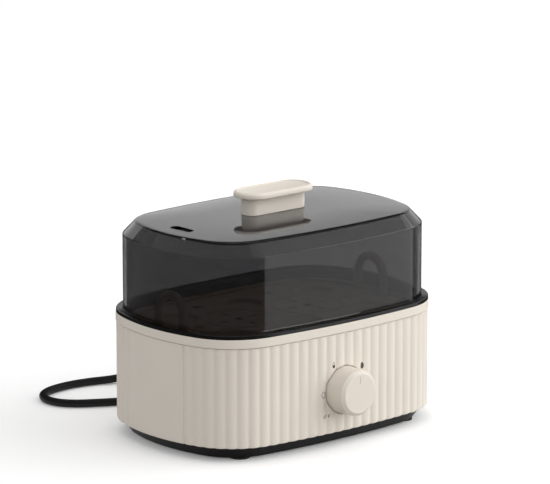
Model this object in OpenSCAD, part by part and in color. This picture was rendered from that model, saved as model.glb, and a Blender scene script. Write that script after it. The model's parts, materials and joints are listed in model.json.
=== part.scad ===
// Electric egg cooker: reeded housing on a black base, smoked lid, egg tray,
// heated water pan and rotary control. Millimetres, +Z up. The origin is on the
// floor under the middle of the housing, and the knob faces -Y.

/* [Body] */
// Length of the housing, end to end
body_l = 220; // [210:1:250]
// Width of the housing, front to back
body_w = 152.5; // [146:0.5:170]
// Radius of the bulged front and back
side_r = 585; // [500:5:900]
// Radius of the bulged ends
end_r = 138.5; // [130:0.5:170]
// Radius of the four corners
corner_r = 45; // [42:0.5:50]
// Height of the housing
house_h = 76.2; // [74:0.2:90]
// Height of the smooth band on top
band_h = 6.2; // [3:0.2:10]
// Step from the band in to the reeds
band_step = 0.4; // [0.2:0.1:0.8]
// Reeds in each quarter of the outline
reed_n = 16; // [8:1:20]
// Height of a reed over its valleys
reed_rise = 0.9; // [0.4:0.1:1.2]
// Width of the smooth panel on each end
panel_w = 60; // [40:1:70]
// Inset of the housing's inner face
house_in = 4; // [3.4:0.1:4.4]

/* [Base] */
// Height of the base, floor to housing
base_h = 8.8; // [7:0.1:12]
// Inset of the base's lower edge
base_in = 9.8; // [7:0.2:12]
// Inset of the base's upper edge
base_top_in = 4; // [3:0.1:4.2]
// Height of the base's lip inside the housing
base_lip_h = 3.4; // [2:0.2:4.4]
// Thickness of the base's floor
base_t = 3.3; // [2:0.1:4]
// Height of a foot under the base
foot_h = 1.2; // [1:0.1:3]
// Radius of a foot
foot_r = 7; // [5:0.5:8]
// Distance of the feet from each end of the housing
foot_end = 35; // [33.5:0.5:45]
// Distance of the feet from the front and back
foot_side = 24; // [22.5:0.25:32]

/* [Rim ring] */
// Height of the ring over the housing
rim_h = 2.4; // [2:0.1:4]
// Inset of the ring's outer face
rim_in = 0.3; // [0:0.1:0.6]
// Height of the lid's seat over the housing
seat_up = 0.8; // [0.5:0.1:1.2]
// Depth of the tray's ledge under the housing's top
ledge_drop = 6.2; // [5:0.2:8]
// Thickness of the tray's ledge
ledge_t = 2.5; // [2:0.1:3]
// Inset of the ledge's inner edge
ledge_in = 14; // [13.5:0.1:14.5]
// Depth of the ring's lip under the ledge
rim_lip_h = 3.5; // [2:0.5:5]

/* [Lid] */
// Inset of the lid's wall
lid_in = 5.15; // [5:0.05:5.4]
// Wall of the lid
lid_t = 2.4; // [1.8:0.1:2.6]
// Height of the lid's upright wall
lid_wall_h = 53.7; // [45:0.1:70]
// Width of the bevel round the top
bevel_w = 8.9; // [5:0.1:12]
// Height of the bevel
bevel_h = 9.4; // [5:0.1:12]
// Rise of the lid's top from its edge to its middle
crown = 2.5; // [1:0.1:5]
// Length of the steam slot
slot_l = 21; // [14:0.5:26]
// Width of the steam slot
slot_w = 6.8; // [4.4:0.1:8]
// Distance of the steam slot from the end of the housing
slot_end = 28; // [26:0.5:40]

/* [Handle] */
// Length of the handle's post
post_l = 52.5; // [44:0.5:56]
// Width of the handle's post
post_w = 14.6; // [12:0.2:16]
// Height of the handle's post
post_h = 12.5; // [10:0.1:20]
// Length of the cap plate
cap_l = 63; // [60:1:70]
// Width of the cap plate
cap_w = 28; // [22:0.5:32]
// Thickness of the cap plate
cap_t = 4.2; // [3.8:0.2:6]
// Width of the border round the cap's recess
cap_border = 2.4; // [1.6:0.2:4]
// Depth of the cap's recess
cap_dip = 0.9; // [0.3:0.1:1.2]
// Half the distance between the handle's screws
handle_screw_x = 15; // [10:0.5:18]

/* [Knob] */
// Diameter of the knob at its base
knob_d = 33; // [30:0.5:38]
// Draft of the knob's side
knob_draft = 0.6; // [0:0.1:1]
// Rounding of the knob's front edge
knob_round = 2.4; // [0.8:0.1:2.8]
// Distance of the knob's face in front of the housing
knob_out = 15.2; // [13:0.05:20]
// Depth of the knob's axis under the housing's top
knob_drop = 46.9; // [45:0.1:50]
// Gap between the knob and the housing
knob_gap = 0.8; // [0.3:0.1:1]
// Depth of the knob's seat in the housing
knob_seat = 2.35; // [1.8:0.05:2.6]
// Radius of the control's shaft
shaft_r = 3; // [2.5:0.1:3.5]
// Running clearance round the shaft
shaft_gap = 0.05; // [0.02:0.01:0.1]

/* [Egg tray] */
// Thickness of the tray
tray_t = 1.8; // [1.2:0.1:2.4]
// Clearance of the tray inside the ring
tray_gap = 0.8; // [0.5:0.1:1.2]
// Gap under the tray and the lid
rest_gap = 0.2; // [0.1:0.05:0.4]
// Depth of the tray's field under its border
field_drop = 1.5; // [1:0.1:2]
// Clearance of the field inside the ledge
field_gap = 0.3; // [0.2:0.1:0.8]
// Radius of an egg cup
cup_rad = 14.6; // [12:0.2:16]
// Depth of an egg cup
cup_dip = 2.5; // [1.5:0.1:3]
// Distance of the corner cups from the ends of the housing
cup_end = 48; // [44:0.5:52]
// Distance of the corner cups from the front and back
cup_side = 47.75; // [44:0.25:50]
// Distance of the middle cups from the front and back
cup_mid_side = 44.25; // [40:0.25:48]
// Distance of the drains from the ends of the housing
drain_end = 79; // [76:0.5:82]
// Diameter of the hole in a drain
drain_d = 6.5; // [4:0.5:8]
// Distance of the drain slots from a drain's middle
drain_rad = 14.3; // [11:0.1:16]
// Length of a drain slot
drain_l = 7.5; // [5:0.5:9]
// Width of a drain slot
drain_w = 3.3; // [2:0.1:4]
// Plate that is left round the drains
drain_t = 0.7; // [0.6:0.1:1.2]
// Radius of the groove round a drain
groove_rad = 25.3; // [22:0.1:26]
// Width of that groove
groove_w = 1.6; // [0.8:0.1:2]
// Depth of that groove
groove_dip = 0.6; // [0.3:0.1:1]
// Diameter of the steam holes
steam_d = 7; // [4:0.5:8]
// Distance of the loop handles from the ends of the housing
loop_end = 19; // [19:0.5:22]
// Half the distance between a loop's legs
loop_half = 13; // [12:0.2:14]
// Radius of a loop's bar
loop_r = 3.1; // [2.2:0.1:3.2]
// Height of a loop's centre line over the tray's field
loop_h = 26.2; // [22:0.1:28]

/* [Pan and heater] */
// Depth of the water pan
pan_depth = 18; // [14:0.5:19]
// Sheet of the water pan
pan_t = 1.2; // [0.8:0.1:1.4]
// Clearance of the pan's flange inside the ring's lip
flange_gap = 0.4; // [0.2:0.1:0.6]
// Inset of the pan's upper edge
pan_in = 15; // [14.6:0.1:16]
// Inset of the pan's floor
pan_floor_in = 21; // [18:0.5:26]
// Thickness of the pan's seal
seal_t = 1.5; // [1:0.1:2]
// Radius of the heating element's tube
tube_r = 3.3; // [2.5:0.1:3.6]
// Radius of the heating element's bend
bend_r = 26; // [22:0.5:30]
// Length of the heating element's straight runs
run_l = 92; // [70:1:100]
// Radius of the pan's large studs
stud_r = 2; // [1.5:0.1:2.2]
// Radius of the thermostat
stat_r = 8; // [6:0.5:8.4]

/* [Cord] */
// Diameter of the cord
cord_d = 5.7; // [5:0.1:6]
// Distance of the cord's outlet right of the middle
cord_x = 20; // [16:1:24]
// Height of the cord's outlet over the housing's lower edge
cord_up = 14; // [14:0.5:18]
// Length of the strain relief outside the housing
relief_out = 17.65; // [15:0.05:30]
// Distance between the plug's pins
pin_gap = 19; // [19:0.1:19.4]
// Radius of a plug pin
pin_r = 2.4; // [2:0.05:2.4]
// Free length of a plug pin
pin_l = 19; // [17:0.5:20]

/* [Hidden] */
$fn = 64;

// Overlap of cuts and of solids that are joined
eps = 0.5;
// Clearance of fixed pieces that slip into each other
slip = 0.1;
// Clearance of the lips inside the housing
lip_gap = 0.3;
// Wall of the lips inside the housing
lip_t = 2.5;
lip_in = house_in + lip_gap;
// Rounding of the ring's outer edge
rim_soft = 0.6;
// Clearance of the lid inside the ring, and the ring's inner edge
lid_room = 0.55;
nest_in = lid_in - lid_room;
// Inset of the ring's wall round the lid and the tray
lid_play = 0.65;
wall_in = lid_in + lid_t + lid_play;
// Clearance of a screw in its hole
screw_gap = 0.2;

// Heights over the floor
z_house = foot_h + base_h;
z_top = z_house + house_h;
z_floor = foot_h + base_t;
z_base_lip = z_house + base_lip_h;
z_seat = z_top + seat_up;
z_ledge = z_top - ledge_drop;
z_under = z_ledge - ledge_t;
z_flange = z_under - seal_t;
z_pan = z_flange - pan_depth;
z_pan_under = z_pan - pan_t;
z_knob = z_top - knob_drop;
cord_z = z_house + cord_up;
z_lid_foot = z_seat + rest_gap;
z_lid_wall = z_lid_foot + lid_wall_h;
z_lid_edge = z_lid_wall + bevel_h;
z_lid_top = z_lid_edge + crown;
z_cap = z_lid_top + post_h;
z_tray = z_ledge + rest_gap + tray_t;
z_field = z_tray - field_drop;

// Half sizes and the arcs of the plan outline
half_l = body_l / 2;
half_w = body_w / 2;
side_c = [0, half_w - side_r];
end_c = [half_l - end_r, 0];
between = end_c - side_c;
span = norm(between);
along = ((side_r - corner_r) ^ 2 - (end_r - corner_r) ^ 2 + span ^ 2) / (2 * span);
across = sqrt((side_r - corner_r) ^ 2 - along ^ 2);
corner_c = side_c + (along * between + across * [between.y, -between.x]) / span;
end_a = atan2(corner_c.y - end_c.y, corner_c.x - end_c.x);
side_a = atan2(corner_c.y - side_c.y, corner_c.x - side_c.x);
panel_a = asin(panel_w / 2 / end_r);

// Segments of each arc in a quarter of the outline
end_seg = 5;
corner_seg = 10;
side_seg = 7;
reed_seg = 6;

function arc(c, r, a0, a1, n) =
    [for (i = [0:n]) c + r * [cos(a0 + (a1 - a0) * i / n), sin(a0 + (a1 - a0) * i / n)]];
function tail(list) = [for (i = [1:len(list) - 1]) list[i]];
function flip(list) = [for (i = [len(list) - 1:-1:0]) list[i]];
function unit(v) = v / norm(v);

// A quarter outline, from the middle of an end to the middle of a side, made whole
function four(q) = concat(
    q,
    tail(flip([for (p = q) [-p.x, p.y]])),
    tail([for (p = q) -p]),
    [for (i = [len(q) - 2:-1:1]) [q[i].x, -q[i].y]]
);
function plan(inset) = four(concat(
    arc(end_c, end_r - inset, 0, end_a, end_seg),
    tail(arc(corner_c, corner_r - inset, end_a, side_a, corner_seg)),
    tail(arc(side_c, side_r - inset, side_a, 90, side_seg))
));

// Arc lengths of the reeded stretch of a quarter, from the panel to the middle of a side
end_len = end_r * (end_a - panel_a) * PI / 180;
corner_len = corner_r * (side_a - end_a) * PI / 180;
side_len = side_r * (90 - side_a) * PI / 180;
reed_len = end_len + corner_len + side_len;

// A point of that stretch, at a length from the panel and an inset
function walk(s, inset) =
    let (t = s - end_len, u = t - corner_len)
    t < 0 ? turn(end_c, end_r - inset, panel_a + s / end_r * 180 / PI) :
    u < 0 ? turn(corner_c, corner_r - inset, end_a + t / corner_r * 180 / PI) :
    turn(side_c, side_r - inset, side_a + u / side_r * 180 / PI);
function turn(c, r, a) = c + r * [cos(a), sin(a)];
function reed_inset(i) = band_step + reed_rise * (2 * (i % reed_seg) / reed_seg - 1) ^ 2;
function reeds() = four(concat(
    arc(end_c, end_r - band_step, 0, panel_a, end_seg),
    [for (i = [0:reed_n * reed_seg]) walk(i * reed_len / (reed_n * reed_seg), reed_inset(i))]
));

// Places on the front and back at an x, and on the ends at a y
function side_y(x, inset) = side_c.y + sqrt((side_r - inset) ^ 2 - x ^ 2);
function end_x(y, inset) = end_c.x + sqrt((end_r - inset) ^ 2 - y ^ 2);

// A rounded rectangle
function slab(l, w, r, n = 8) = [
    for (q = [[1, 1, 0], [-1, 1, 90], [-1, -1, 180], [1, -1, 270]])
        each arc([q.x * (l / 2 - r), q.y * (w / 2 - r)], r, q.z, q.z + 90, n)
];

// A solid through sections of equally many points, closed by caps or into a loop
module skin(sections, loop = false) {
    n = len(sections[0]);
    m = len(sections);
    sides = [for (j = [0:m - (loop ? 1 : 2)]) for (i = [0:n - 1])
        let (a = j * n, b = (j + 1) % m * n, k = (i + 1) % n)
        each [[a + i, b + i, b + k], [a + i, b + k, a + k]]];
    caps = loop ? [] : [[for (i = [0:n - 1]) i], [for (i = [n - 1:-1:0]) (m - 1) * n + i]];
    polyhedron(points = [for (s = sections) each s], faces = concat(sides, caps));
}
function level(points, z, k = 1) = [for (p = points) [p.x * k, p.y * k, z]];
module loft(rings) { skin([for (r = rings) level(plan(r[0]), r[1])]); }
module hoop(profile) { skin([for (r = profile) level(plan(r[0]), r[1])], loop = true); }
module prism(inset, z0, z1) {
    translate([0, 0, z0]) linear_extrude(z1 - z0) polygon(plan(inset));
}
module slab_prism(l, w, r, z0, z1, n = 8) {
    translate([0, 0, z0]) linear_extrude(z1 - z0) polygon(slab(l, w, r, n));
}

// A rod between two heights, and one along Y
module rod(r, z0, z1) { translate([0, 0, z0]) cylinder(r = r, h = z1 - z0); }
module rod_y(r, y0, y1) { translate([0, y0, 0]) rotate([-90, 0, 0]) cylinder(r = r, h = y1 - y0); }
module nut(r, hole, z0, z1) {
    difference() {
        translate([0, 0, z0]) cylinder(r = r, h = z1 - z0, $fn = 6);
        rod(hole, z0 - eps, z1 + eps);
    }
}
module screw(r, z_tip, z_head, head_r, head_h, up = true) {
    rod(r, min(z_tip, z_head), max(z_tip, z_head));
    rod(head_r, up ? z_head - head_h : z_head, up ? z_head : z_head + head_h);
}
module at_corners(x, y) {
    for (sx = [-1, 1]) for (sy = [-1, 1]) translate([sx * x, sy * y, 0]) children();
}

// A tube along a route; ref is a direction that the route never takes
module tube(route, r, sides, ref = [0, 0, 1]) {
    skin([for (i = [0:len(route) - 1])
        let (t = unit(route[min(i + 1, len(route) - 1)] - route[max(i - 1, 0)]),
             s = unit(cross(t, ref)), u = cross(s, t))
        [for (k = [0:sides - 1]) let (a = 360 * k / sides) route[i] + r * (cos(a) * s - sin(a) * u)]]);
}
// A smooth route through points, with m steps to each of their spans
function past(p, i) = i < 0 ? 2 * p[0] - p[1] : i >= len(p) ? 2 * p[len(p) - 1] - p[len(p) - 2] : p[i];
function smooth(p, m) = concat([for (i = [0:len(p) - 2]) for (j = [0:m - 1])
    let (t = j / m, a = past(p, i - 1), b = p[i], c = p[i + 1], d = past(p, i + 2))
    0.5 * (2 * b + (c - a) * t + (2 * a - 5 * b + 4 * c - d) * t ^ 2 + (3 * b - a - 3 * c + d) * t ^ 3)],
    [p[len(p) - 1]]);

// Colours
cream = [0.88, 0.84, 0.79];
black = [0.05, 0.05, 0.055];
smoke = [0.2, 0.2, 0.21, 0.55];
tray_brown = [0.22, 0.15, 0.1];
steel = [0.72, 0.73, 0.75];
brass = [0.78, 0.64, 0.35];

// Base screws and their posts in the housing
post_end = 22;
post_y = 27;
base_screw_x = half_l - post_end;
base_post_r = 4;
base_screw_r = 1.5;
base_head_r = 3;
base_head_h = 2.4;
base_head_up = 0.5;
base_head_z = z_floor + base_head_up;
post_gap = 5;
post_top = z_pan_under - post_gap;
base_screw_deep = 17.6;
base_screw_tip = z_base_lip + base_screw_deep;
rib_t = 2.5;
rib_l = end_x(post_y, house_in) + eps - base_screw_x;

// Control behind the front wall
seat_y = -half_w + knob_seat;
boss_y = -half_w + house_in + 3.25;
boss_r = 21;
bush_r = 5;
bush_y = seat_y - 5.1;
nut_h = 2.5;
switch_w = 28;
switch_d = 17.9;
switch_back = boss_y + slip + switch_d;
blade_x = 7;
blade_l = 6;
blade_h = 6;
blade_t = 0.8;
blade_tip = switch_back + blade_l;
shaft_back = boss_y + 10.5;
knob_face = -half_w - knob_out;
knob_front_t = 3;
knob_wall = 2.4;
knob_boss_r = 6;
knob_boss_y = bush_y - 1;
pointer_w = 0.5;
pointer_r0 = 6.4;
pointer_r1 = 12.4;
pointer_dip = 0.4;

// Pan screws and the ring's bosses for them
pan_screw_off = 2.5;
pan_screw_in = lip_in + lip_t + pan_screw_off;
flange_in = lip_in + lip_t + flange_gap;
pan_screw_x = 42;
pan_screw_y = 24;
pan_skin = 1;
pan_screw_r = 1.2;
pan_boss_r = 2;
pan_head_r = 2.2;
pan_head_h = 1.9;
pan_screw_tip = z_ledge - pan_skin;
pan_places = [for (sx = [-1, 1]) for (sy = [-1, 1]) each [
    [sx * pan_screw_x, sy * side_y(pan_screw_x, pan_screw_in)],
    [sx * end_x(pan_screw_y, pan_screw_in), sy * pan_screw_y]
]];

// Heater under the pan
touch = 0.1;
z_tube = z_pan_under - touch - tube_r;
run_x = 52;
bend_x = run_x - run_l;
cold_pin_r = 1.5;
cold_pin_l = 10;
z_clamp = z_tube - tube_r - touch / 2;
clamp_t = 1.5;
clamp_w = 12;
clamp_over = 6;
clamp_bend = 25;
clamp_run = 17;
clamp_x = [bend_x + clamp_bend, run_x - clamp_run];
stud_over = 6;
clamp_nut_h = 3.2;
clamp_nut_r = 4;
stat_x = 10;
stat_h = 10;
stat_flange_t = 2.4;
stat_stud_y = stat_r + 3;
stat_stud_r = 1.3;
stat_nut_h = 2.3;
stat_nut_r = 2.7;
stat_blade_x = 4;
stat_blade_l = 6;
z_stat = z_pan_under - touch;
fuse_bend = 2;
fuse_x = bend_x - fuse_bend;
fuse_l = 20;
fuse_r = 2.4;
fuse_pin_l = 3;
fuse_pin_r = 0.8;
z_fuse = z_stat - fuse_r;
clip_w = 6;
clip_y = 7;
clip_t = 1.2;
earth_end = 32;
earth_x = half_l - earth_end;
earth_lug_r = 4.5;
earth_lug_t = 1;
earth_lug_z = z_pan_under - 8;
earth_nut_h = 3;

// Cord outlet, clamp and terminal block at the back
cord_r = cord_d / 2;
back_y = side_y(cord_x, 0);
relief_seat = back_y - 2;
relief_flange_r = 9;
relief_flange_t = 2.5;
relief_neck_r = 6.5;
relief_tip_r = 4;
relief_tip = half_w + relief_out;
wall_in_y = side_y(cord_x, house_in);
relief_hold_r = 8;
relief_hold_t = 2;
relief_end = 5.5;
relief_in = wall_in_y - relief_end;
clamp_back = 7.4;
clamp_y = relief_in - clamp_back;
clamp_l = 6;
clamp_half = 10;
clamp_screw_x = 7.5;
clamp_screw_r = 1.4;
clamp_head_r = 2.3;
lead_bare = 9;
lead_end = clamp_y - lead_bare;
core_r = 1.1;
core_step = 2.3;
core_l = 6;
block_d = 14;
block_y1 = lead_end - core_l;
block_y0 = block_y1 - block_d;
block_half = 15;
block_low = 10;
block_high = 6;
block_z0 = cord_z - block_low;
block_z1 = cord_z + block_high;
block_screw_x = 4;
block_screw_r = 1.3;
pole_x = 8;
wire_r = 1.1;
wire_gap = 0.2;

// The tie round the coil, and the coil's height over the floor and between its turns
tie_w = 8;
tie_t = 0.55;
tie_gap = 0.3;
coil_z = cord_r + tie_gap + tie_t;
coil_step = cord_d + 0.7;

// Route of the cord from the strain relief to its coil: it drops to the floor, the
// third number being its share of the outlet's height, turns round on the floor and
// comes back behind the housing
rest_z = cord_r + 0.1;
drop_points = [
    [20, 93.9, 1], [20, 100, 1], [19.5, 107, 0.97], [18, 115, 0.885], [14.5, 124, 0.735],
    [8.5, 134, 0.525], [0, 143.5, 0.3], [-9, 150.5, 0.125], [-20, 157, 0.025]
];
floor_points = [
    [-34, 162.8], [-49, 165.2], [-63, 164.6], [-75.5, 161.2], [-84.8, 154.2], [-89.3, 143.5],
    [-87.8, 132], [-80.5, 122.2], [-69.5, 114.8], [-57, 107.8], [-44, 101.8], [-30, 97.8],
    [-15, 96.3], [2, 96], [20, 96]
];
end_points = [[38, 96], [48.6, 96], [54.3, 96]];
cord_points = concat(
    [for (p = drop_points) [p.x, p.y, rest_z + p.z * (cord_z - rest_z)]],
    [for (p = floor_points) [p.x, p.y, rest_z]],
    [for (p = end_points) [p.x, p.y, coil_z]]
);
cord_steps = 2;
// The cord, its coil and its plug follow the outlet
cord_shift = [cord_x - 20, relief_tip - 93.9, 0];

// Coil: it winds in on the lower layer, climbs in half a turn and winds out on the upper one
coil_x = 60;
coil_y0 = 96;
coil_rad = 33.5;
coil_turns = 1.25;
coil_rings = 24;
coil_all = 2 * coil_turns + 0.5;
coil_inner = coil_rad - coil_step * coil_turns;
function coil_radius(u) =
    let (w = (u - coil_turns) * 2)
    w < 0 ? coil_rad - coil_step * u :
    w < 1 ? coil_inner - coil_step * (w - w ^ 2) / 2 :
    coil_inner + coil_step * (u - coil_turns - 0.5);
function coil_height(u) =
    let (w = max(0, min(1, (u - coil_turns) * 2)))
    coil_z + coil_step * (1 - cos(180 * w)) / 2;
function coil_point(u) =
    [coil_x, coil_y0 + coil_rad, coil_height(u)]
    + coil_radius(u) * [sin(360 * u), -cos(360 * u), 0];
coil_points = concat(
    [[coil_x - cord_d, coil_y0, coil_z]],
    [for (i = [0:coil_rings * coil_all]) coil_point(i / coil_rings)],
    [[coil_x + cord_d, coil_y0, coil_z + coil_step]]
);
coil_last = len(coil_points) - 1;
coil_gap = min([for (i = [0:coil_last]) each
    [for (j = [i + coil_rings / 2:coil_last]) norm(coil_points[i] - coil_points[j])]]) - cord_d;
echo(str("least gap of the coil to itself, mm: ", coil_gap));

// Tail from the coil to the plug, and the plug on its side
tail_low = coil_z + coil_step;
tail_points = [
    [coil_x + cord_d, 96, tail_low], [71.4, 96, tail_low], [77, 96, 11], [83, 96, 13],
    [89, 96, 15.7], [95, 96, 17.9], [100.3, 96, 18.9], [106, 96, 19]
];
plug_x = 106;
plug_y = 96;
plug_z = 19;
plug_relief_l = 16;
plug_grip_l = 16;
plug_head_l = 15;
plug_r = 18.6;
plug_waist_r = 8;
pin_deep = 8;
pin_root_r = pin_r - 0.4;
pin_neck = 0.4;

// Outer shells
module outer_housing() {
    color(cream) difference() {
        union() {
            difference() {
                union() {
                    translate([0, 0, z_house]) linear_extrude(house_h - band_h) polygon(reeds());
                    prism(0, z_top - band_h, z_top);
                }
                prism(house_in, z_house - eps, z_top + eps);
            }
            translate([0, 0, z_knob]) rod_y(boss_r, -half_w + house_in - eps, boss_y);
            at_corners(base_screw_x, post_y) rod(base_post_r, z_base_lip, post_top);
            for (a = [0, 180]) rotate([0, 0, a]) for (sy = [-1, 1])
                translate([base_screw_x, sy * post_y - rib_t / 2, z_base_lip + lip_gap])
                    cube([rib_l, rib_t, post_top - z_base_lip - lip_gap]);
        }
        translate([0, 0, z_knob]) rod_y(knob_d / 2 + knob_gap, -half_w - eps, seat_y);
        translate([0, 0, z_knob]) rod_y(bush_r + slip, -half_w, boss_y + eps);
        translate([cord_x, 0, cord_z]) rod_y(relief_flange_r + slip, relief_seat, half_w + eps);
        translate([cord_x, 0, cord_z]) rod_y(relief_neck_r + slip, wall_in_y - 2, half_w + eps);
        at_corners(base_screw_x, post_y) rod(base_screw_r + slip / 4, z_base_lip, base_screw_tip + 1);
    }
}

module bottom_base() {
    color(black) difference() {
        union() {
            loft([
                [base_in + 1.2, foot_h], [base_in, foot_h + 0.7], [base_top_in, z_house],
                [lip_in, z_house], [lip_in, z_base_lip], [lip_in + lip_t, z_base_lip],
                [lip_in + lip_t, z_house], [base_in + base_t, z_floor]
            ]);
            at_corners(base_screw_x, post_y) rod(base_post_r, z_floor - eps, z_base_lip);
            translate([cord_x - clamp_half, clamp_y - clamp_l / 2, z_floor - eps])
                cube([2 * clamp_half, clamp_l, cord_z - cord_r - z_floor + eps]);
            translate([cord_x - block_half, block_y0 + 2, z_floor - eps])
                cube([2 * block_half, block_y1 - block_y0 - 4, block_z0 - z_floor + eps]);
        }
        at_corners(base_screw_x, post_y) {
            rod(base_head_r + screw_gap, foot_h - eps, base_head_z);
            rod(base_screw_r + screw_gap, foot_h, z_base_lip + eps);
        }
        at_corners(half_l - foot_end, half_w - foot_side) rod(foot_stem_r + slip, 0, z_floor + eps);
        for (s = [-1, 1]) translate([cord_x + s * clamp_screw_x, clamp_y, 0])
            rod(clamp_screw_r + slip / 4, cord_z - cord_r - 9, cord_z);
        for (s = [-1, 1]) translate([cord_x + s * block_screw_x, (block_y0 + block_y1) / 2, 0])
            rod(block_screw_r + slip / 4, z_floor, block_z0 + eps);
    }
}

foot_stem_r = 2.5;
module rubber_feet() {
    color([0.08, 0.08, 0.08]) at_corners(half_l - foot_end, half_w - foot_side) {
        rod(foot_r, 0, foot_h);
        rod(foot_stem_r, foot_h - eps, z_floor + eps);
        rod(foot_stem_r + 0.7, z_floor, z_floor + 1.5);
    }
}

module base_screws() {
    color(steel) at_corners(base_screw_x, post_y)
        screw(base_screw_r, base_screw_tip, base_head_z, base_head_r, base_head_h);
}

module rim_ring() {
    z_rim = z_top + rim_h;
    color(black) difference() {
        union() {
            hoop([
                [rim_in, z_top], [rim_in, z_rim - rim_soft],
                [rim_in + 0.3 * rim_soft, z_rim - 0.3 * rim_soft], [rim_in + rim_soft, z_rim],
                [nest_in - rim_soft / 2, z_rim], [nest_in, z_rim - rim_soft / 2],
                [nest_in, z_seat], [wall_in, z_seat],
                [wall_in, z_ledge], [ledge_in, z_ledge], [ledge_in, z_under],
                [lip_in + lip_t, z_under], [lip_in + lip_t, z_under - rim_lip_h],
                [lip_in, z_under - rim_lip_h], [lip_in, z_top]
            ]);
            for (p = pan_places) translate(p) rod(pan_boss_r, z_flange, z_under + eps);
        }
        for (p = pan_places) translate(p)
            rod(pan_screw_r + slip / 4, z_flange - eps, pan_screw_tip + 0.2);
    }
}

// Water pan and what hangs under it
module heating_pan() {
    color([0.3, 0.3, 0.31]) difference() {
        union() {
            loft([
                [pan_floor_in + 2, z_pan_under], [pan_floor_in, z_pan_under + 0.8],
                [pan_in + pan_t, z_flange - pan_t - 1.5], [pan_in, z_flange - pan_t],
                [flange_in, z_flange - pan_t], [flange_in, z_flange], [pan_in + pan_t, z_flange],
                [pan_in + 2 * pan_t, z_flange - 1.5], [pan_floor_in + pan_t, z_pan + 0.8],
                [pan_floor_in + pan_t + 2, z_pan]
            ]);
            for (x = clamp_x) translate([x, 0, 0])
                rod(stud_r, z_clamp - clamp_t - stud_over, z_pan_under + eps);
            for (s = [-1, 1]) translate([stat_x, s * stat_stud_y, 0])
                rod(stat_stud_r, z_stat - stat_flange_t - stat_nut_h - 1, z_pan_under + eps);
            translate([earth_x, 0, 0])
                rod(stud_r, earth_lug_z - earth_lug_t - earth_nut_h - 1, z_pan_under + eps);
        }
        for (p = pan_places) translate(p)
            rod(pan_screw_r + screw_gap, z_flange - pan_t - eps, z_flange + eps);
    }
}

module pan_seal() {
    color([0.75, 0.75, 0.72]) difference() {
        prism(pan_screw_in + pan_boss_r + 0.4, z_flange, z_under);
        prism(ledge_in - 0.2, z_flange - eps, z_under + eps);
    }
}

module pan_screws() {
    color(steel) for (p = pan_places) translate(p)
        screw(pan_screw_r, pan_screw_tip, z_flange - pan_t, pan_head_r, pan_head_h);
}

module heating_element() {
    color([0.45, 0.44, 0.42]) translate([0, 0, z_tube]) {
        translate([bend_x, 0, 0]) rotate([0, 0, 90]) rotate_extrude(angle = 180)
            translate([bend_r, 0]) circle(r = tube_r);
        for (s = [-1, 1]) translate([bend_x, s * bend_r, 0]) rotate([0, 90, 0])
            cylinder(r = tube_r, h = run_l);
    }
}

module element_pins() {
    color(steel) for (s = [-1, 1]) translate([run_x, s * bend_r, z_tube]) rotate([0, 90, 0])
        cylinder(r = cold_pin_r, h = cold_pin_l);
}

module element_clamps() {
    length = 2 * (bend_r + clamp_over);
    color(steel) for (x = clamp_x) difference() {
        translate([x - clamp_w / 2, -length / 2, z_clamp - clamp_t]) cube([clamp_w, length, clamp_t]);
        translate([x, 0, 0]) rod(stud_r + slip, z_clamp - clamp_t - eps, z_clamp + eps);
    }
}

module clamp_nuts() {
    z = z_clamp - clamp_t;
    color(steel) for (x = clamp_x) translate([x, 0, 0])
        nut(clamp_nut_r, stud_r + slip / 2, z - clamp_nut_h, z);
}

module thermostat() {
    color([0.82, 0.78, 0.68]) translate([stat_x, 0, 0]) difference() {
        union() {
            rod(stat_r, z_stat - stat_h, z_stat);
            translate([0, 0, z_stat - stat_flange_t]) linear_extrude(stat_flange_t)
                polygon(slab(7, 2 * (stat_stud_y + 3), 3));
            for (s = [-1, 1])
                translate([s * stat_blade_x - blade_t / 2, -blade_h / 2, z_stat - stat_h - stat_blade_l])
                    cube([blade_t, blade_h, stat_blade_l + eps]);
        }
        for (s = [-1, 1]) translate([0, s * stat_stud_y, 0])
            rod(stat_stud_r + slip, z_stat - stat_flange_t - eps, z_stat + eps);
    }
}

module thermostat_nuts() {
    z = z_stat - stat_flange_t;
    color(brass) for (s = [-1, 1]) translate([stat_x, s * stat_stud_y, 0])
        nut(stat_nut_r, stat_stud_r + slip / 2, z - stat_nut_h, z);
}

module thermal_fuse() {
    color([0.85, 0.85, 0.8]) translate([fuse_x, 0, z_fuse]) rotate([0, 90, 0]) {
        cylinder(r = fuse_r, h = fuse_l, center = true);
        cylinder(r = fuse_pin_r, h = fuse_l + 2 * fuse_pin_l, center = true);
    }
}

module fuse_clip() {
    color(steel) difference() {
        translate([fuse_x - clip_w / 2, -clip_y, z_fuse - fuse_r - clip_t])
            cube([clip_w, 2 * clip_y, z_stat - z_fuse + fuse_r + clip_t]);
        translate([fuse_x, 0, z_fuse]) rotate([0, 90, 0])
            cylinder(r = fuse_r + slip / 2, h = clip_w + 2 * eps, center = true);
        translate([fuse_x - clip_w, -fuse_r - slip / 2, z_fuse])
            cube([2 * clip_w, 2 * fuse_r + slip, fuse_r + eps]);
    }
}

earth_tongue_l = 8;
module earth_lug() {
    color(brass) difference() {
        union() {
            translate([earth_x, 0, 0]) rod(earth_lug_r, earth_lug_z - earth_lug_t, earth_lug_z);
            translate([earth_x - earth_tongue_l, -2, earth_lug_z - earth_lug_t])
                cube([earth_tongue_l, 4, earth_lug_t]);
        }
        translate([earth_x, 0, 0])
            rod(stud_r + slip / 2, earth_lug_z - earth_lug_t - eps, earth_lug_z + eps);
    }
}

module earth_nut() {
    z = earth_lug_z - earth_lug_t;
    color(steel) translate([earth_x, 0, 0]) nut(clamp_nut_r, stud_r + slip / 2, z - earth_nut_h, z);
}

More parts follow.
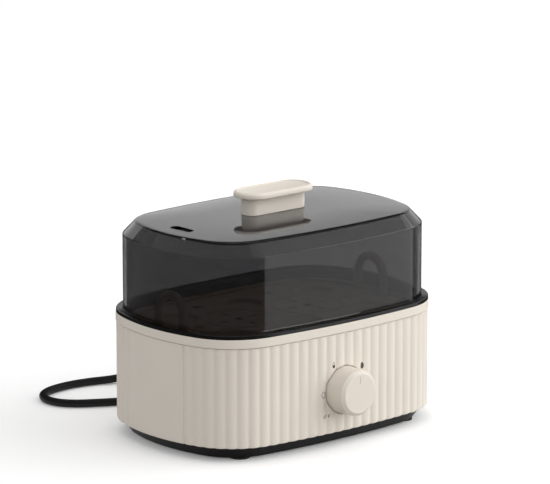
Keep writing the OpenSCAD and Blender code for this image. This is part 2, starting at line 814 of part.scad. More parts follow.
// Rotary control and knob
module control_switch() {
    color([0.2, 0.2, 0.22]) difference() {
        union() {
            translate([-switch_w / 2, boss_y + slip, z_knob - switch_w / 2])
                cube([switch_w, switch_d, switch_w]);
            translate([0, 0, z_knob]) rod_y(bush_r, bush_y, boss_y + 1);
            for (s = [-1, 1])
                translate([s * blade_x - blade_t / 2, switch_back - eps, z_knob - blade_h / 2])
                    cube([blade_t, blade_l + eps, blade_h]);
        }
        translate([0, 0, z_knob]) rod_y(shaft_r + shaft_gap, bush_y - eps, shaft_back + slip);
    }
}

module switch_nut() {
    color(steel) translate([0, seat_y, z_knob]) rotate([90, 0, 0]) nut(7.5, bush_r + slip / 2, 0, nut_h);
}

module control_shaft() {
    color(steel) translate([0, 0, z_knob]) rod_y(shaft_r, knob_face + knob_front_t + slip, shaft_back);
}

module control_knob() {
    back_y = seat_y - 0.3;
    r = knob_d / 2;
    length = back_y - knob_face;
    front = length - knob_front_t;
    color(cream) translate([0, 0, z_knob]) rotate([90, 0, 0]) translate([0, 0, -back_y]) difference() {
        rotate_extrude() difference() {
            polygon(concat(
                [[0, 0], [r, 0]],
                arc([r - knob_draft - knob_round, length - knob_round], knob_round, 0, 90, 6),
                [[0, length]]
            ));
            polygon([
                [-eps, -eps], [r - knob_wall, -eps], [r - knob_wall - knob_draft, front],
                [knob_boss_r, front], [knob_boss_r, back_y - knob_boss_y], [-eps, back_y - knob_boss_y]
            ]);
        }
        rod(shaft_r + shaft_gap / 2, 0, front);
        translate([-pointer_w / 2, pointer_r0, length - pointer_dip])
            cube([pointer_w, pointer_r1 - pointer_r0, 1]);
    }
}

// Mains connection
module terminal_block() {
    color([0.9, 0.9, 0.87]) difference() {
        translate([cord_x - block_half, block_y0, block_z0])
            cube([2 * block_half, block_y1 - block_y0, block_z1 - block_z0]);
        for (s = [-1, 1]) translate([cord_x + s * block_screw_x, (block_y0 + block_y1) / 2, 0])
            rod(block_screw_r + screw_gap, block_z0 - eps, block_z1 + eps);
    }
}

module block_screws() {
    color(steel) for (s = [-1, 1]) translate([cord_x + s * block_screw_x, (block_y0 + block_y1) / 2, 0])
        screw(block_screw_r, z_floor + 3, block_z1, 2.4, 1.5, up = false);
}

module inner_lead() {
    color(black) translate([cord_x, 0, cord_z]) rod_y(cord_r, lead_end, relief_in);
}

module lead_cores() {
    for (i = [-1:1]) color([[0.45, 0.25, 0.1], [0.35, 0.5, 0.15], [0.1, 0.25, 0.6]][i + 1])
        translate([cord_x + i * core_step, 0, cord_z]) rod_y(core_r, block_y1, lead_end);
}

module cord_clamp() {
    z0 = cord_z - cord_r + slip;
    color([0.85, 0.85, 0.82]) difference() {
        translate([cord_x - clamp_half, clamp_y - clamp_l / 2, z0])
            cube([2 * clamp_half, clamp_l, 2 * cord_r + 2]);
        translate([cord_x, 0, cord_z]) rod_y(cord_r + slip / 2, clamp_y - clamp_l, clamp_y + clamp_l);
        translate([cord_x - cord_r - slip / 2, clamp_y - clamp_l, z0 - eps])
            cube([2 * cord_r + slip, 2 * clamp_l, cord_r + eps]);
        for (s = [-1, 1]) translate([cord_x + s * clamp_screw_x, clamp_y, 0])
            rod(clamp_screw_r + screw_gap, z0 - eps, cord_z + 2 * cord_r);
    }
}

module cord_clamp_screws() {
    z = cord_z + cord_r + slip + 2;
    color(steel) for (s = [-1, 1]) translate([cord_x + s * clamp_screw_x, clamp_y, 0])
        screw(clamp_screw_r, cord_z - cord_r - 8, z, clamp_head_r, 1.6, up = false);
}

module strain_relief() {
    color(black) translate([cord_x, 0, cord_z]) {
        rod_y(relief_neck_r, wall_in_y - eps, relief_seat + eps);
        rod_y(relief_flange_r, relief_seat, relief_seat + relief_flange_t);
        rod_y(relief_hold_r, wall_in_y - 0.7 - relief_hold_t, wall_in_y - 0.7);
        rod_y(cord_r + 1.5, relief_in, wall_in_y);
        translate([0, relief_seat, 0]) rotate([-90, 0, 0])
            cylinder(r1 = relief_neck_r, r2 = relief_tip_r, h = relief_tip - relief_seat);
    }
}

// Wires inside the base
module wire_line() {
    color([0.45, 0.25, 0.1]) tube(smooth([
        [cord_x - pole_x, block_y0 - wire_gap, cord_z], [cord_x - pole_x, block_y0 - 8, cord_z - 1],
        [10, 6, cord_z - 5], [8, -14, cord_z - 4], [blade_x, -30, z_knob - 7],
        [blade_x, blade_tip + 7, z_knob], [blade_x, blade_tip + wire_gap, z_knob]
    ], 3), wire_r, 8, [1, 0, 0]);
}

module wire_switched() {
    x = stat_x - stat_blade_x;
    z = z_stat - stat_h - stat_blade_l - wire_gap;
    color([0.2, 0.2, 0.2]) tube(smooth([
        [-blade_x, blade_tip + wire_gap, z_knob], [-blade_x, blade_tip + 7, z_knob],
        [-5, -28, z_knob - 5], [1, -13, z - 11], [x, -4, z - 10], [x, 0, z - 5], [x, 0, z]
    ], 3), wire_r, 8, [1, 0, 0]);
}

module wire_link() {
    x = stat_x + stat_blade_x;
    z = z_stat - stat_h - stat_blade_l - wire_gap;
    end_x = fuse_x + fuse_l / 2 + fuse_pin_l + wire_gap;
    color([0.2, 0.2, 0.2]) tube(smooth([
        [x, 0, z], [x, 1, z - 5], [x - 5, 8, z - 9], [-10, 13, z - 8], [end_x + 5, 9, z],
        [end_x + 4, 3, z_fuse - 5], [end_x + 3, 0, z_fuse - 0.5], [end_x, 0, z_fuse]
    ], 3), wire_r, 8, [0, 1, 0]);
}

module wire_return() {
    x0 = fuse_x - fuse_l / 2 - fuse_pin_l - wire_gap;
    x1 = run_x + cold_pin_l + wire_gap;
    y = -bend_r - 9;
    z = z_clamp - clamp_t - 5;
    color([0.45, 0.25, 0.1]) tube(smooth([
        [x0, 0, z_fuse], [x0 - 5, -1, z_fuse - 2], [x0 - 7, -10, z + 3], [x0 - 4, y + 8, z],
        [x0 + 10, y, z], [-20, y, z], [15, y, z], [45, y, z], [x1 + 4, y + 4, z + 2],
        [x1 + 10, -bend_r - 3, z_tube - 3], [x1 + 6, -bend_r, z_tube], [x1, -bend_r, z_tube]
    ], 3), wire_r, 8);
}

module wire_neutral() {
    x1 = run_x + cold_pin_l + wire_gap;
    color([0.1, 0.25, 0.6]) tube(smooth([
        [cord_x, block_y0 - wire_gap, cord_z], [cord_x, block_y0 - 7, cord_z],
        [cord_x + 10, 15, cord_z + 4], [50, 17, z_tube - 17], [x1 + 4, 22, z_tube - 8],
        [x1 + 11, bend_r - 1, z_tube - 2], [x1 + 6, bend_r, z_tube], [x1, bend_r, z_tube]
    ], 3), wire_r, 8);
}

module wire_earth() {
    x1 = earth_x - earth_tongue_l - wire_gap;
    z1 = earth_lug_z - earth_lug_t / 2;
    color([0.35, 0.5, 0.15]) tube(smooth([
        [cord_x + pole_x, block_y0 - wire_gap, cord_z], [cord_x + pole_x, block_y0 - 7, cord_z - 1],
        [40, 10, cord_z], [54, 3, cord_z + 8], [x1 - 7, 0, z1 - 4], [x1 - 4, 0, z1], [x1, 0, z1]
    ], 3), wire_r, 8);
}

// Cord outside the housing
module power_cord() {
    color(black) translate(cord_shift) tube(smooth(cord_points, cord_steps), cord_r, 10);
}

module cord_coil() {
    color(black) translate(cord_shift) tube(coil_points, cord_r, 6);
}

module cord_tail() {
    color(black) translate(cord_shift) tube(smooth(tail_points, cord_steps), cord_r, 10);
}

module cord_tie() {
    inner = coil_inner - cord_r - tie_gap;
    outer = coil_radius(0.25) + cord_r + tie_gap;
    top = coil_z + coil_step + cord_r + tie_gap;
    bottom = coil_z - cord_r - tie_gap;
    color([0.15, 0.15, 0.15]) translate(cord_shift + [coil_x, coil_y0 + coil_rad, 0]) difference() {
        translate([inner - tie_t, -tie_w / 2, bottom - tie_t])
            cube([outer - inner + 2 * tie_t, tie_w, top - bottom + 2 * tie_t]);
        translate([inner, -tie_w, bottom]) cube([outer - inner, 2 * tie_w, top - bottom]);
    }
}

module plug_body() {
    grip_x = plug_relief_l;
    head_x = plug_relief_l + plug_grip_l;
    face_x = head_x + plug_head_l;
    color(black) translate(cord_shift + [plug_x, plug_y, plug_z]) difference() {
        rotate([0, 90, 0]) rotate_extrude() polygon([
            [0, 0], [cord_r + 0.9, 0], [plug_waist_r - 2, grip_x], [plug_waist_r, grip_x + 1],
            [plug_waist_r + 3, head_x - 5], [plug_r - 1, head_x - 1], [plug_r, head_x + 1],
            [plug_r, face_x - 1], [plug_r - 1, face_x], [0, face_x]
        ]);
        for (s = [-1, 1]) translate([face_x - pin_deep, s * pin_gap / 2, 0]) rotate([0, 90, 0])
            cylinder(r = pin_root_r + slip / 4, h = pin_deep + eps);
    }
}

module plug_pins() {
    root_x = plug_x + plug_relief_l + plug_grip_l + plug_head_l - pin_deep;
    color(brass) for (s = [-1, 1])
        translate(cord_shift + [root_x, plug_y + s * pin_gap / 2, plug_z])
            rotate([0, 90, 0]) {
                cylinder(r = pin_root_r, h = pin_deep + pin_l);
                translate([0, 0, pin_deep + pin_neck]) cylinder(r = pin_r, h = pin_l - pin_neck);
            }
}

// Lid and its handle
crown_flat = 0.36;
crown_k = [1, 0.88, 0.74, 0.58, crown_flat];
function crown_z(k) = crown * (1 - ((k - crown_flat) / (1 - crown_flat)) ^ 2);
module lid_shell() {
    bevel_a = atan2(bevel_h, bevel_w);
    wall_fall = lid_t * tan((90 - bevel_a) / 2);
    edge_in = lid_in + bevel_w;
    edge_more = lid_t * tan(bevel_a / 2);
    z_edge_under = z_lid_edge - lid_t;
    color(smoke) difference() {
        skin(concat(
            [for (k = flip(crown_k)) level(plan(edge_in + edge_more), z_edge_under + crown_z(k), k)],
            [level(plan(lid_in + lid_t), z_lid_wall - wall_fall)],
            [level(plan(lid_in + lid_t), z_lid_foot)],
            [level(plan(lid_in), z_lid_foot)],
            [level(plan(lid_in), z_lid_wall)],
            [for (k = crown_k) level(plan(edge_in), z_lid_edge + crown_z(k), k)]
        ));
        translate([slot_end - half_l, 0, 0])
            slab_prism(slot_w, slot_l, slot_w / 2 - 0.01, z_edge_under - eps, z_lid_top + eps);
        for (s = [-1, 1]) translate([s * handle_screw_x, 0, 0])
            rod(handle_screw_r + screw_gap, z_lid_top - lid_t - eps, z_lid_top + eps);
    }
}

handle_screw_r = 1.5;
handle_tip = z_lid_top + post_h - 4;
spigot_l = 36;
spigot_w = 8;
spigot_h = 1.6;
module handle_post() {
    color(cream) difference() {
        union() {
            slab_prism(post_l, post_w, post_w / 2 - 0.6, z_lid_top, z_cap);
            slab_prism(spigot_l, spigot_w, 2, z_cap - eps, z_cap + spigot_h);
        }
        for (s = [-1, 1]) translate([s * handle_screw_x, 0, 0])
            rod(handle_screw_r + slip / 4, z_lid_top - eps, handle_tip + 0.5);
    }
}

// Rounding of the cap plate's upper and lower edge
cap_round = 2.2;
cap_under = 0.8;
module handle_cap() {
    function ring(inset, z) =
        level(slab(cap_l - 2 * inset, cap_w - 2 * inset, cap_w / 2 - 0.5 - inset), z);
    z1 = z_cap + cap_t;
    soft = 0.3;
    color(cream) difference() {
        skin([
            ring(cap_under, z_cap), ring(soft * cap_under, z_cap + soft * cap_under),
            ring(0, z_cap + cap_under), ring(0, z1 - cap_round),
            ring(soft * cap_round, z1 - soft * cap_round), ring(cap_round, z1),
            ring(cap_border, z1), ring(cap_border + soft * cap_dip, z1 - cap_dip)
        ]);
        slab_prism(spigot_l + 2 * slip, spigot_w + 2 * slip, 2, z_cap - eps, z_cap + spigot_h + slip);
    }
}

module handle_screws() {
    color(steel) for (s = [-1, 1]) translate([s * handle_screw_x, 0, 0])
        screw(handle_screw_r, handle_tip, z_lid_top - lid_t, 3, 1.8);
}

// Egg tray: a border on the ledge round a lower field with six cups and two drains
step_t = 0.7;
cup_fall = 2.4;
cup_wall = 1;
tray_in = wall_in + tray_gap;
field_in = ledge_in + field_gap;
cup_places = concat(
    [for (s = [-1, 1]) [0, s * (half_w - cup_mid_side)]],
    [for (sx = [-1, 1]) for (sy = [-1, 1]) [sx * (half_l - cup_end), sy * (half_w - cup_side)]]
);
drain_places = [for (s = [-1, 1]) [s * (half_l - drain_end), 0]];
steam_end = 43;
steam_row_end = 77;
steam_row_side = 32.25;
steam_places = concat(
    [for (s = [-1, 1]) [s * (half_l - steam_end), 0]],
    [for (sx = [-1, 1]) for (sy = [-1, 1])
        [sx * (half_l - steam_row_end), sy * (half_w - steam_row_side)]]
);
peg_r = 2;
peg_l = 1.5;
// Half the section of a cup at a height, open to a top, with its side moved out
function cup_half(z, top, more) = [
    [0, z - cup_dip], [cup_rad - cup_fall + more, z - cup_dip], [cup_rad + more, z],
    [cup_rad + more, top], [0, top]
];
module egg_tray() {
    z_low = z_field - tray_t;
    color(tray_brown) difference() {
        union() {
            prism(tray_in, z_tray - tray_t, z_tray);
            prism(field_in, z_low, z_tray - eps);
            for (p = cup_places) translate(p)
                rotate_extrude() polygon(cup_half(z_low, z_field - eps, cup_wall));
        }
        prism(field_in + step_t, z_field, z_tray + eps);
        for (p = cup_places) translate(p)
            rotate_extrude() polygon(cup_half(z_field, z_field + eps, 0));
        for (p = drain_places) translate(p) {
            rod(drain_d / 2, z_low - eps, z_field + eps);
            for (a = [0:90:270]) rotate([0, 0, a]) translate([drain_rad, 0, 0])
                slab_prism(drain_l, drain_w, drain_w / 2 - 0.01, z_low - eps, z_field + eps, 3);
            rod(drain_rad + drain_l / 2 + drain_t, z_low - eps, z_field - drain_t);
            rotate_extrude() translate([groove_rad - groove_w / 2, z_field - groove_dip])
                square([groove_w, groove_dip + eps]);
        }
        for (p = steam_places) translate(p) rod(steam_d / 2, z_low - eps, z_field + eps);
        at_corners(half_l - loop_end, loop_half) rod(peg_r + slip / 2, z_low - eps, z_field + eps);
    }
}

// A loop handle that stands on the field, with a peg under each leg
module tray_loop(s) {
    z_bend = z_field + loop_h - loop_half;
    color(tray_brown) translate([s * (half_l - loop_end), 0, 0]) {
        translate([0, 0, z_bend]) rotate([90, 0, 90]) rotate_extrude(angle = 180)
            translate([loop_half, 0]) circle(r = loop_r);
        for (y = [-loop_half, loop_half]) translate([0, y, 0]) {
            rod(loop_r, z_field, z_bend);
            rod(peg_r, z_field - tray_t - peg_l, z_field + eps);
        }
    }
}
module tray_loop_left() { tray_loop(-1); }
module tray_loop_right() { tray_loop(1); }

outer_housing();
bottom_base();
rubber_feet();
base_screws();
rim_ring();
heating_pan();
pan_seal();
pan_screws();
heating_element();
element_pins();
element_clamps();
clamp_nuts();
thermostat();
thermostat_nuts();
thermal_fuse();
fuse_clip();
earth_lug();
earth_nut();
control_switch();
switch_nut();
terminal_block();
block_screws();
inner_lead();
lead_cores();
cord_clamp();
cord_clamp_screws();
wire_line();
wire_switched();
wire_link();
wire_return();
wire_neutral();
wire_earth();
strain_relief();
power_cord();
cord_coil();
cord_tail();
cord_tie();
plug_body();
plug_pins();
control_knob();
control_shaft();
lid_shell();
handle_post();
handle_cap();
handle_screws();
egg_tray();
tray_loop_left();
tray_loop_right();
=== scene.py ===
import json
import math
import bmesh
import bpy
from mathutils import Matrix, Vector


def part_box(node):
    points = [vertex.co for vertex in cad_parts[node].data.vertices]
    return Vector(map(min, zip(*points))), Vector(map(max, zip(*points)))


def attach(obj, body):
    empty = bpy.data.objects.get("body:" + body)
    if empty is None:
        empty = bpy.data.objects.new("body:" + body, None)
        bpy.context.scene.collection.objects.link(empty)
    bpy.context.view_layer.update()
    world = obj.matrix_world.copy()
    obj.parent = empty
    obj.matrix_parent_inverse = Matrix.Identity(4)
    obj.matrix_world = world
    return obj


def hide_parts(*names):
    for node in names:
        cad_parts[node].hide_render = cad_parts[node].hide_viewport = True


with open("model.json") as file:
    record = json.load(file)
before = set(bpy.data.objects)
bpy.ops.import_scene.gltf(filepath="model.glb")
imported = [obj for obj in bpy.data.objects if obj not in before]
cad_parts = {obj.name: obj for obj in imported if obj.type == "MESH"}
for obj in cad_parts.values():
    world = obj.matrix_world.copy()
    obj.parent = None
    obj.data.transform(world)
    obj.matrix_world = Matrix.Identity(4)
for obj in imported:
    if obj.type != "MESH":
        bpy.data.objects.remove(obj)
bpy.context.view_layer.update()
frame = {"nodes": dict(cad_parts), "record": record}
scene = bpy.context.scene
scene.view_settings.view_transform = "Standard"

# Sizes are in millimetres, and each mesh is scaled to metres as it is made
MM = 0.001


def box_mm(node):
    """Lowest and highest corner of a solid, in millimetres."""
    low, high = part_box(node)
    return low / MM, high / MM


# Camera at the photograph's viewing angle
CAMERA_PLACE = Vector((-1799.63, -2087.67, 760.64))
CAMERA_AIM = Vector((1.91, 0.14, 129.69))
CAMERA_LENS = 266.13
SENSOR_WIDTH = 36

camera_data = bpy.data.cameras.new("camera")
camera_data.sensor_fit = "HORIZONTAL"
camera_data.sensor_width = SENSOR_WIDTH
camera_data.lens = CAMERA_LENS
camera = bpy.data.objects.new("camera", camera_data)
camera.location = CAMERA_PLACE * MM
camera.rotation_euler = (CAMERA_AIM - CAMERA_PLACE).to_track_quat("-Z", "Y").to_euler()
scene.collection.objects.link(camera)
scene.camera = camera

# Materials: a broad noise moves the colour, and a fine one the gloss and the height
DRIFT_SIZE = 30
NOISE_LOW = 0.3
NOISE_HIGH = 0.7
NOISE_DETAIL = 3
GLOSS_DRIFT = 0.05
BUMP_STRENGTH = 0.5
TINT_DRIFT = 0.03
POLISH = (0.004, 0.012)


def new_material(name):
    """A material, its node tree and its shader."""
    material = bpy.data.materials.new(name)
    material.use_nodes = True
    return material, material.node_tree, material.node_tree.nodes["Principled BSDF"]


def add_noise(tree, coords, size):
    """A noise whose features are about size millimetres across."""
    node = tree.nodes.new("ShaderNodeTexNoise")
    node.inputs["Scale"].default_value = 1 / (size * MM)
    node.inputs["Detail"].default_value = NOISE_DETAIL
    tree.links.new(coords, node.inputs["Vector"])
    return node.outputs[0]


def add_range(tree, value, low, high):
    """The middle range of a noise, spread between low and high."""
    node = tree.nodes.new("ShaderNodeMapRange")
    node.inputs["From Min"].default_value = NOISE_LOW
    node.inputs["From Max"].default_value = NOISE_HIGH
    node.inputs["To Min"].default_value = low
    node.inputs["To Max"].default_value = high
    tree.links.new(value, node.inputs["Value"])
    return node.outputs["Result"]


def add_drift(tree, value, colour, drift):
    """A colour that goes from a share darker to a share lighter over the middle range of a noise."""
    node = tree.nodes.new("ShaderNodeValToRGB")
    for element, place, side in zip(node.color_ramp.elements, (NOISE_LOW, NOISE_HIGH), (-1, 1)):
        element.position = place
        element.color = (*[c * (1 + side * drift) for c in colour], 1)
    tree.links.new(value, node.inputs["Fac"])
    return node.outputs["Color"]


def surface(name, colour, rough, metal=0, drift=0.04, grain=0.5, relief=0.02, specular=0.5):
    """A moulded or metal surface, with a drift in its colour and a fine grain in its gloss and height."""
    material, tree, shader = new_material(name)
    shader.inputs["Metallic"].default_value = metal
    shader.inputs["Specular IOR Level"].default_value = specular
    coords = tree.nodes.new("ShaderNodeTexCoord").outputs["Object"]
    broad = add_noise(tree, coords, DRIFT_SIZE)
    fine = add_noise(tree, coords, grain)
    gloss = add_range(tree, fine, rough - GLOSS_DRIFT, rough + GLOSS_DRIFT)
    tree.links.new(add_drift(tree, broad, colour, drift), shader.inputs["Base Color"])
    tree.links.new(gloss, shader.inputs["Roughness"])
    bump = tree.nodes.new("ShaderNodeBump")
    bump.inputs["Strength"].default_value = BUMP_STRENGTH
    bump.inputs["Distance"].default_value = relief * MM
    tree.links.new(fine, bump.inputs["Height"])
    tree.links.new(bump.outputs["Normal"], shader.inputs["Normal"])
    return material


def smoked(name, colour, ior):
    """Clear tinted plastic with a faint drift in its tint and polish."""
    material, tree, shader = new_material(name)
    shader.inputs["Transmission Weight"].default_value = 1
    shader.inputs["IOR"].default_value = ior
    coords = tree.nodes.new("ShaderNodeTexCoord").outputs["Object"]
    broad = add_noise(tree, coords, DRIFT_SIZE)
    tree.links.new(add_drift(tree, broad, colour, TINT_DRIFT), shader.inputs["Base Color"])
    tree.links.new(add_range(tree, broad, *POLISH), shader.inputs["Roughness"])
    return material


CREAM = (0.765, 0.705, 0.625)
materials = {
    "cream_plastic": surface("cream_plastic", CREAM, 0.5, drift=0.012, relief=0.01, specular=0.35),
    "black_plastic": surface("black_plastic", (0.0035, 0.0035, 0.0035), 0.22, drift=0.1, specular=0.5),
    "smoked_lid": smoked("smoked_lid", (0.172, 0.172, 0.176), ior=1.49),
    "tray_plastic": surface("tray_plastic", (0.22, 0.15, 0.1), 0.45, drift=0.06),
    "foot_rubber": surface("foot_rubber", (0.02, 0.02, 0.02), 0.75, drift=0.1, relief=0.05),
    "coated_pan": surface("coated_pan", (0.018, 0.018, 0.019), 0.4, grain=0.3, drift=0.1),
    "silicone": surface("silicone", (0.55, 0.55, 0.52), 0.6),
    "steel": surface("steel", (0.55, 0.56, 0.58), 0.3, metal=1, drift=0.08, grain=0.25),
    "element_sheath": surface("element_sheath", (0.2, 0.19, 0.17), 0.5, metal=1, drift=0.25),
    "brass": surface("brass", (0.6, 0.43, 0.16), 0.25, metal=1, drift=0.06, grain=0.25),
    "pale_insulation": surface("pale_insulation", (0.72, 0.7, 0.62), 0.5),
    "switch_plastic": surface("switch_plastic", (0.04, 0.04, 0.045), 0.5),
    "cord_rubber": surface("cord_rubber", (0.011, 0.011, 0.011), 0.5, drift=0.1, specular=0.25),
    "tie_plastic": surface("tie_plastic", (0.02, 0.02, 0.02), 0.5, drift=0.1),
    "core_insulation": surface("core_insulation", (0.16, 0.12, 0.1), 0.5),
    "wire_brown": surface("wire_brown", (0.17, 0.06, 0.02), 0.5),
    "wire_black": surface("wire_black", (0.02, 0.02, 0.02), 0.5),
    "wire_blue": surface("wire_blue", (0.02, 0.06, 0.3), 0.5),
    "wire_green": surface("wire_green", (0.1, 0.25, 0.03), 0.5),
}
# The base's black is a copy of the black plastic that is a shade darker and reflects less: painted shade,
# standing in for the shaded floor close under the base that it mirrors. It and the print round the knob
# have no record slot of their own
shaded_base_black = surface("shaded_base_black", (0.003, 0.003, 0.003), 0.4, drift=0.1, specular=0.12)
mark_ink = surface("mark_ink", (0.12, 0.108, 0.095), 0.6, drift=0.15)


def paint(obj, material):
    """Gives a mesh one material all over."""
    obj.data.materials.clear()
    obj.data.materials.append(material)


for part in frame["record"]["subparts"]:
    paint(frame["nodes"][part["node"]], materials[part["material_slot"]])


# Mesh helpers
HOLD = 0.25
WELD = 0.0005
SHARP = 35
CUT_PAST = 5


def soften(mesh):
    """Smooth shading, with the sharper edges left sharp."""
    for face in mesh.polygons:
        face.use_smooth = True
    mesh.set_sharp_from_angle(angle=math.radians(SHARP))


def shape(name, points, faces, material):
    """An object of a closed mesh, given in millimetres."""
    mesh = bpy.data.meshes.new(name)
    mesh.from_pydata([Vector(p) * MM for p in points], [], faces)
    work = bmesh.new()
    work.from_mesh(mesh)
    bmesh.ops.remove_doubles(work, verts=work.verts, dist=WELD * MM)
    bmesh.ops.recalc_face_normals(work, faces=work.faces)
    work.to_mesh(mesh)
    work.free()
    mesh.materials.append(material)
    soften(mesh)
    obj = bpy.data.objects.new(name, mesh)
    scene.collection.objects.link(obj)
    return obj


def stand_for(obj, body, slot, *nodes):
    """The piece rides on a body, takes a record slot, which is not used, and hides the solids that it
    stands for.
    """
    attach(obj, body)
    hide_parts(*nodes)


def skin(rings, loop=False):
    """Points and faces through rings of equally many points, closed by caps or into a loop."""
    count = len(rings[0])
    points = [p for ring in rings for p in ring]
    faces = []
    for j in range(len(rings) if loop else len(rings) - 1):
        a = j * count
        b = (j + 1) % len(rings) * count
        for i in range(count):
            k = (i + 1) % count
            faces.append((a + i, a + k, b + k, b + i))
    if not loop:
        last = (len(rings) - 1) * count
        faces.append(tuple(range(count)))
        faces.append(tuple(last + i for i in range(count)))
    return points, faces


def cut(obj, *cutters):
    """Takes the cutters out of a mesh, and leaves none of them behind."""
    for cutter in cutters:
        change = obj.modifiers.new("cut", "BOOLEAN")
        change.operation = "DIFFERENCE"
        change.solver = "EXACT"
        change.object = cutter
        change.material_mode = "TRANSFER"
    bpy.context.view_layer.update()
    graph = bpy.context.evaluated_depsgraph_get()
    mesh = bpy.data.meshes.new_from_object(obj.evaluated_get(graph))
    obj.modifiers.clear()
    obj.data = mesh
    soften(mesh)
    for cutter in cutters:
        bpy.data.objects.remove(cutter)


def rod(radius, low, high, along_y=False, at=(0, 0), count=72):
    """A cylinder to cut with, along Z at x and y, or along Y at x and z."""
    turns = [2 * math.pi * i / count for i in range(count)]
    rings = []
    for end in (low, high):
        flat = [(at[0] + radius * math.cos(t), at[1] + radius * math.sin(t)) for t in turns]
        rings.append([(u, end, v) if along_y else (u, v, end) for u, v in flat])
    return shape("rod", *skin(rings), materials["black_plastic"])


def slab(length, width, radius, steps=14):
    """The outline of a rounded rectangle."""
    points = []
    for q, (sx, sy) in enumerate(((1, 1), (-1, 1), (-1, -1), (1, -1))):
        for i in range(steps + 1):
            a = math.radians(90 * (q + i / steps))
            x = sx * (length / 2 - radius) + radius * math.cos(a)
            points.append((x, sy * (width / 2 - radius) + radius * math.sin(a)))
    return points


def level(outline, z, scale=1):
    """An outline at a height."""
    return [(x * scale, y * scale, z) for x, y in outline]


def held(profile):
    """The profile with points near the ends of its long stretches, which keep their shading flat."""
    points = []
    for a, b in zip(profile, profile[1:]):
        a, b = Vector(a), Vector(b)
        points.append(a)
        if (b - a).length > 4 * HOLD:
            step = (b - a).normalized() * HOLD
            points += [a + step, b - step]
    return points + [Vector(profile[-1])]


def fillet(x, z, radius, start, end, steps=6):
    """Points of an arc about a centre, between two angles in degrees."""
    angles = [math.radians(start + (end - start) * i / steps) for i in range(steps + 1)]
    return [(x + radius * math.cos(a), z + radius * math.sin(a)) for a in angles]


def edge(inset, z, steps):
    """A profile's small steps of inset and height, set at an edge."""
    return [(inset + across, z + up) for across, up in steps]


# Plan outline of the body: end, corner and side arcs, addressed by the direction that they face
SIDE_R = 585
END_R = 138.5
CORNER_R = 45
END_STEPS = 10
CORNER_STEPS = 24
SIDE_STEPS = 20
house_low, house_high = box_mm("outer_housing")
HALF_L = house_high.x
HALF_W = house_high.y
side_c = Vector((0, HALF_W - SIDE_R))
end_c = Vector((HALF_L - END_R, 0))


def corner_centre():
    """Centre of the arc that runs on from both the end's and the side's."""
    between = end_c - side_c
    span = between.length
    along = ((SIDE_R - CORNER_R) ** 2 - (END_R - CORNER_R) ** 2 + span ** 2) / (2 * span)
    across = math.sqrt((SIDE_R - CORNER_R) ** 2 - along ** 2)
    return side_c + (along * between + across * Vector((between.y, -between.x))) / span


corner_c = corner_centre()
END_A = math.degrees(math.atan2(corner_c.y - end_c.y, corner_c.x - end_c.x))
SIDE_A = math.degrees(math.atan2(corner_c.y - side_c.y, corner_c.x - side_c.x))


def outline_point(angle, inset):
    """The point of the outline, drawn in by inset, that faces an angle in degrees."""
    fold = abs((angle + 180) % 360 - 180)
    fold = min(fold, 180 - fold)
    if fold <= END_A:
        centre, radius = end_c, END_R
    elif fold <= SIDE_A:
        centre, radius = corner_c, CORNER_R
    else:
        centre, radius = side_c, SIDE_R
    turn = math.radians(angle)
    a = math.radians(fold)
    x = centre.x + (radius - inset) * math.cos(a)
    y = centre.y + (radius - inset) * math.sin(a)
    return math.copysign(x, math.cos(turn)), math.copysign(y, math.sin(turn))


def spread(start, end, count):
    """Evenly spaced values after start, up to end."""
    return [start + (end - start) * (i + 1) / count for i in range(count)]


def four(quarter):
    """A quarter's directions, from an end to a side, mirrored to all four."""
    back = quarter[::-1]
    return (
        quarter
        + [(180 - a, *rest) for a, *rest in back[1:]]
        + [(180 + a, *rest) for a, *rest in quarter[1:]]
        + [(360 - a, *rest) for a, *rest in back[1:-1]]
    )


quarter_turns = [0] + spread(0, END_A, END_STEPS) + spread(END_A, SIDE_A, CORNER_STEPS)
quarter_turns += spread(SIDE_A, 90, SIDE_STEPS)
LOOP = [turn for (turn,) in four([(a,) for a in quarter_turns])]


def plan(inset):
    """The outline drawn in by inset."""
    return [outline_point(a, inset) for a in LOOP]


# Cord: its route on the floor, its coil and its tail to the plug
CORD_D = 5.7
CORD_R = CORD_D / 2
TIE_T = 0.55
TIE_GAP = 0.3
FLOOR_GAP = 0.1
COIL_GAP = 0.7
relief_low, relief_high = box_mm("strain_relief")
cord_exit = Vector(((relief_low.x + relief_high.x) / 2, relief_high.y, (relief_low.z + relief_high.z) / 2))
REST_Z = CORD_R + FLOOR_GAP
COIL_Z = CORD_R + TIE_GAP + TIE_T
COIL_STEP = CORD_D + COIL_GAP
COIL_X = 60
COIL_Y = 96
COIL_RAD = 33.5
COIL_TURNS = 1.25
COIL_CLIMB = 0.5
COIL_RINGS = 72
COIL_INNER = COIL_RAD - COIL_STEP * COIL_TURNS
# The third number is the share of the outlet's height
DROP_POINTS = [
    (20, 93.9, 1), (20, 100, 1), (19.5, 107, 0.97), (18, 115, 0.885), (14.5, 124, 0.735),
    (8.5, 134, 0.525), (0, 143.5, 0.3), (-9, 150.5, 0.125), (-20, 157, 0.025),
]
FLOOR_POINTS = [
    (-34, 162.8), (-49, 165.2), (-63, 164.6), (-75.5, 161.2), (-84.8, 154.2), (-89.3, 143.5),
    (-87.8, 132), (-80.5, 122.2), (-69.5, 114.8), (-57, 107.8), (-44, 101.8), (-30, 97.8),
    (-15, 96.3), (2, 96), (20, 96),
]
END_POINTS = [(38, 96), (48.6, 96), (54.3, 96)]
TAIL_POINTS = [
    (65.7, 96, COIL_Z + COIL_STEP), (71.4, 96, COIL_Z + COIL_STEP), (77, 96, 11), (83, 96, 13),
    (89, 96, 15.7), (95, 96, 17.9), (100.3, 96, 18.9), (106, 96, 19),
]
CORD_STEPS = 8
CORD_BEVEL = 7


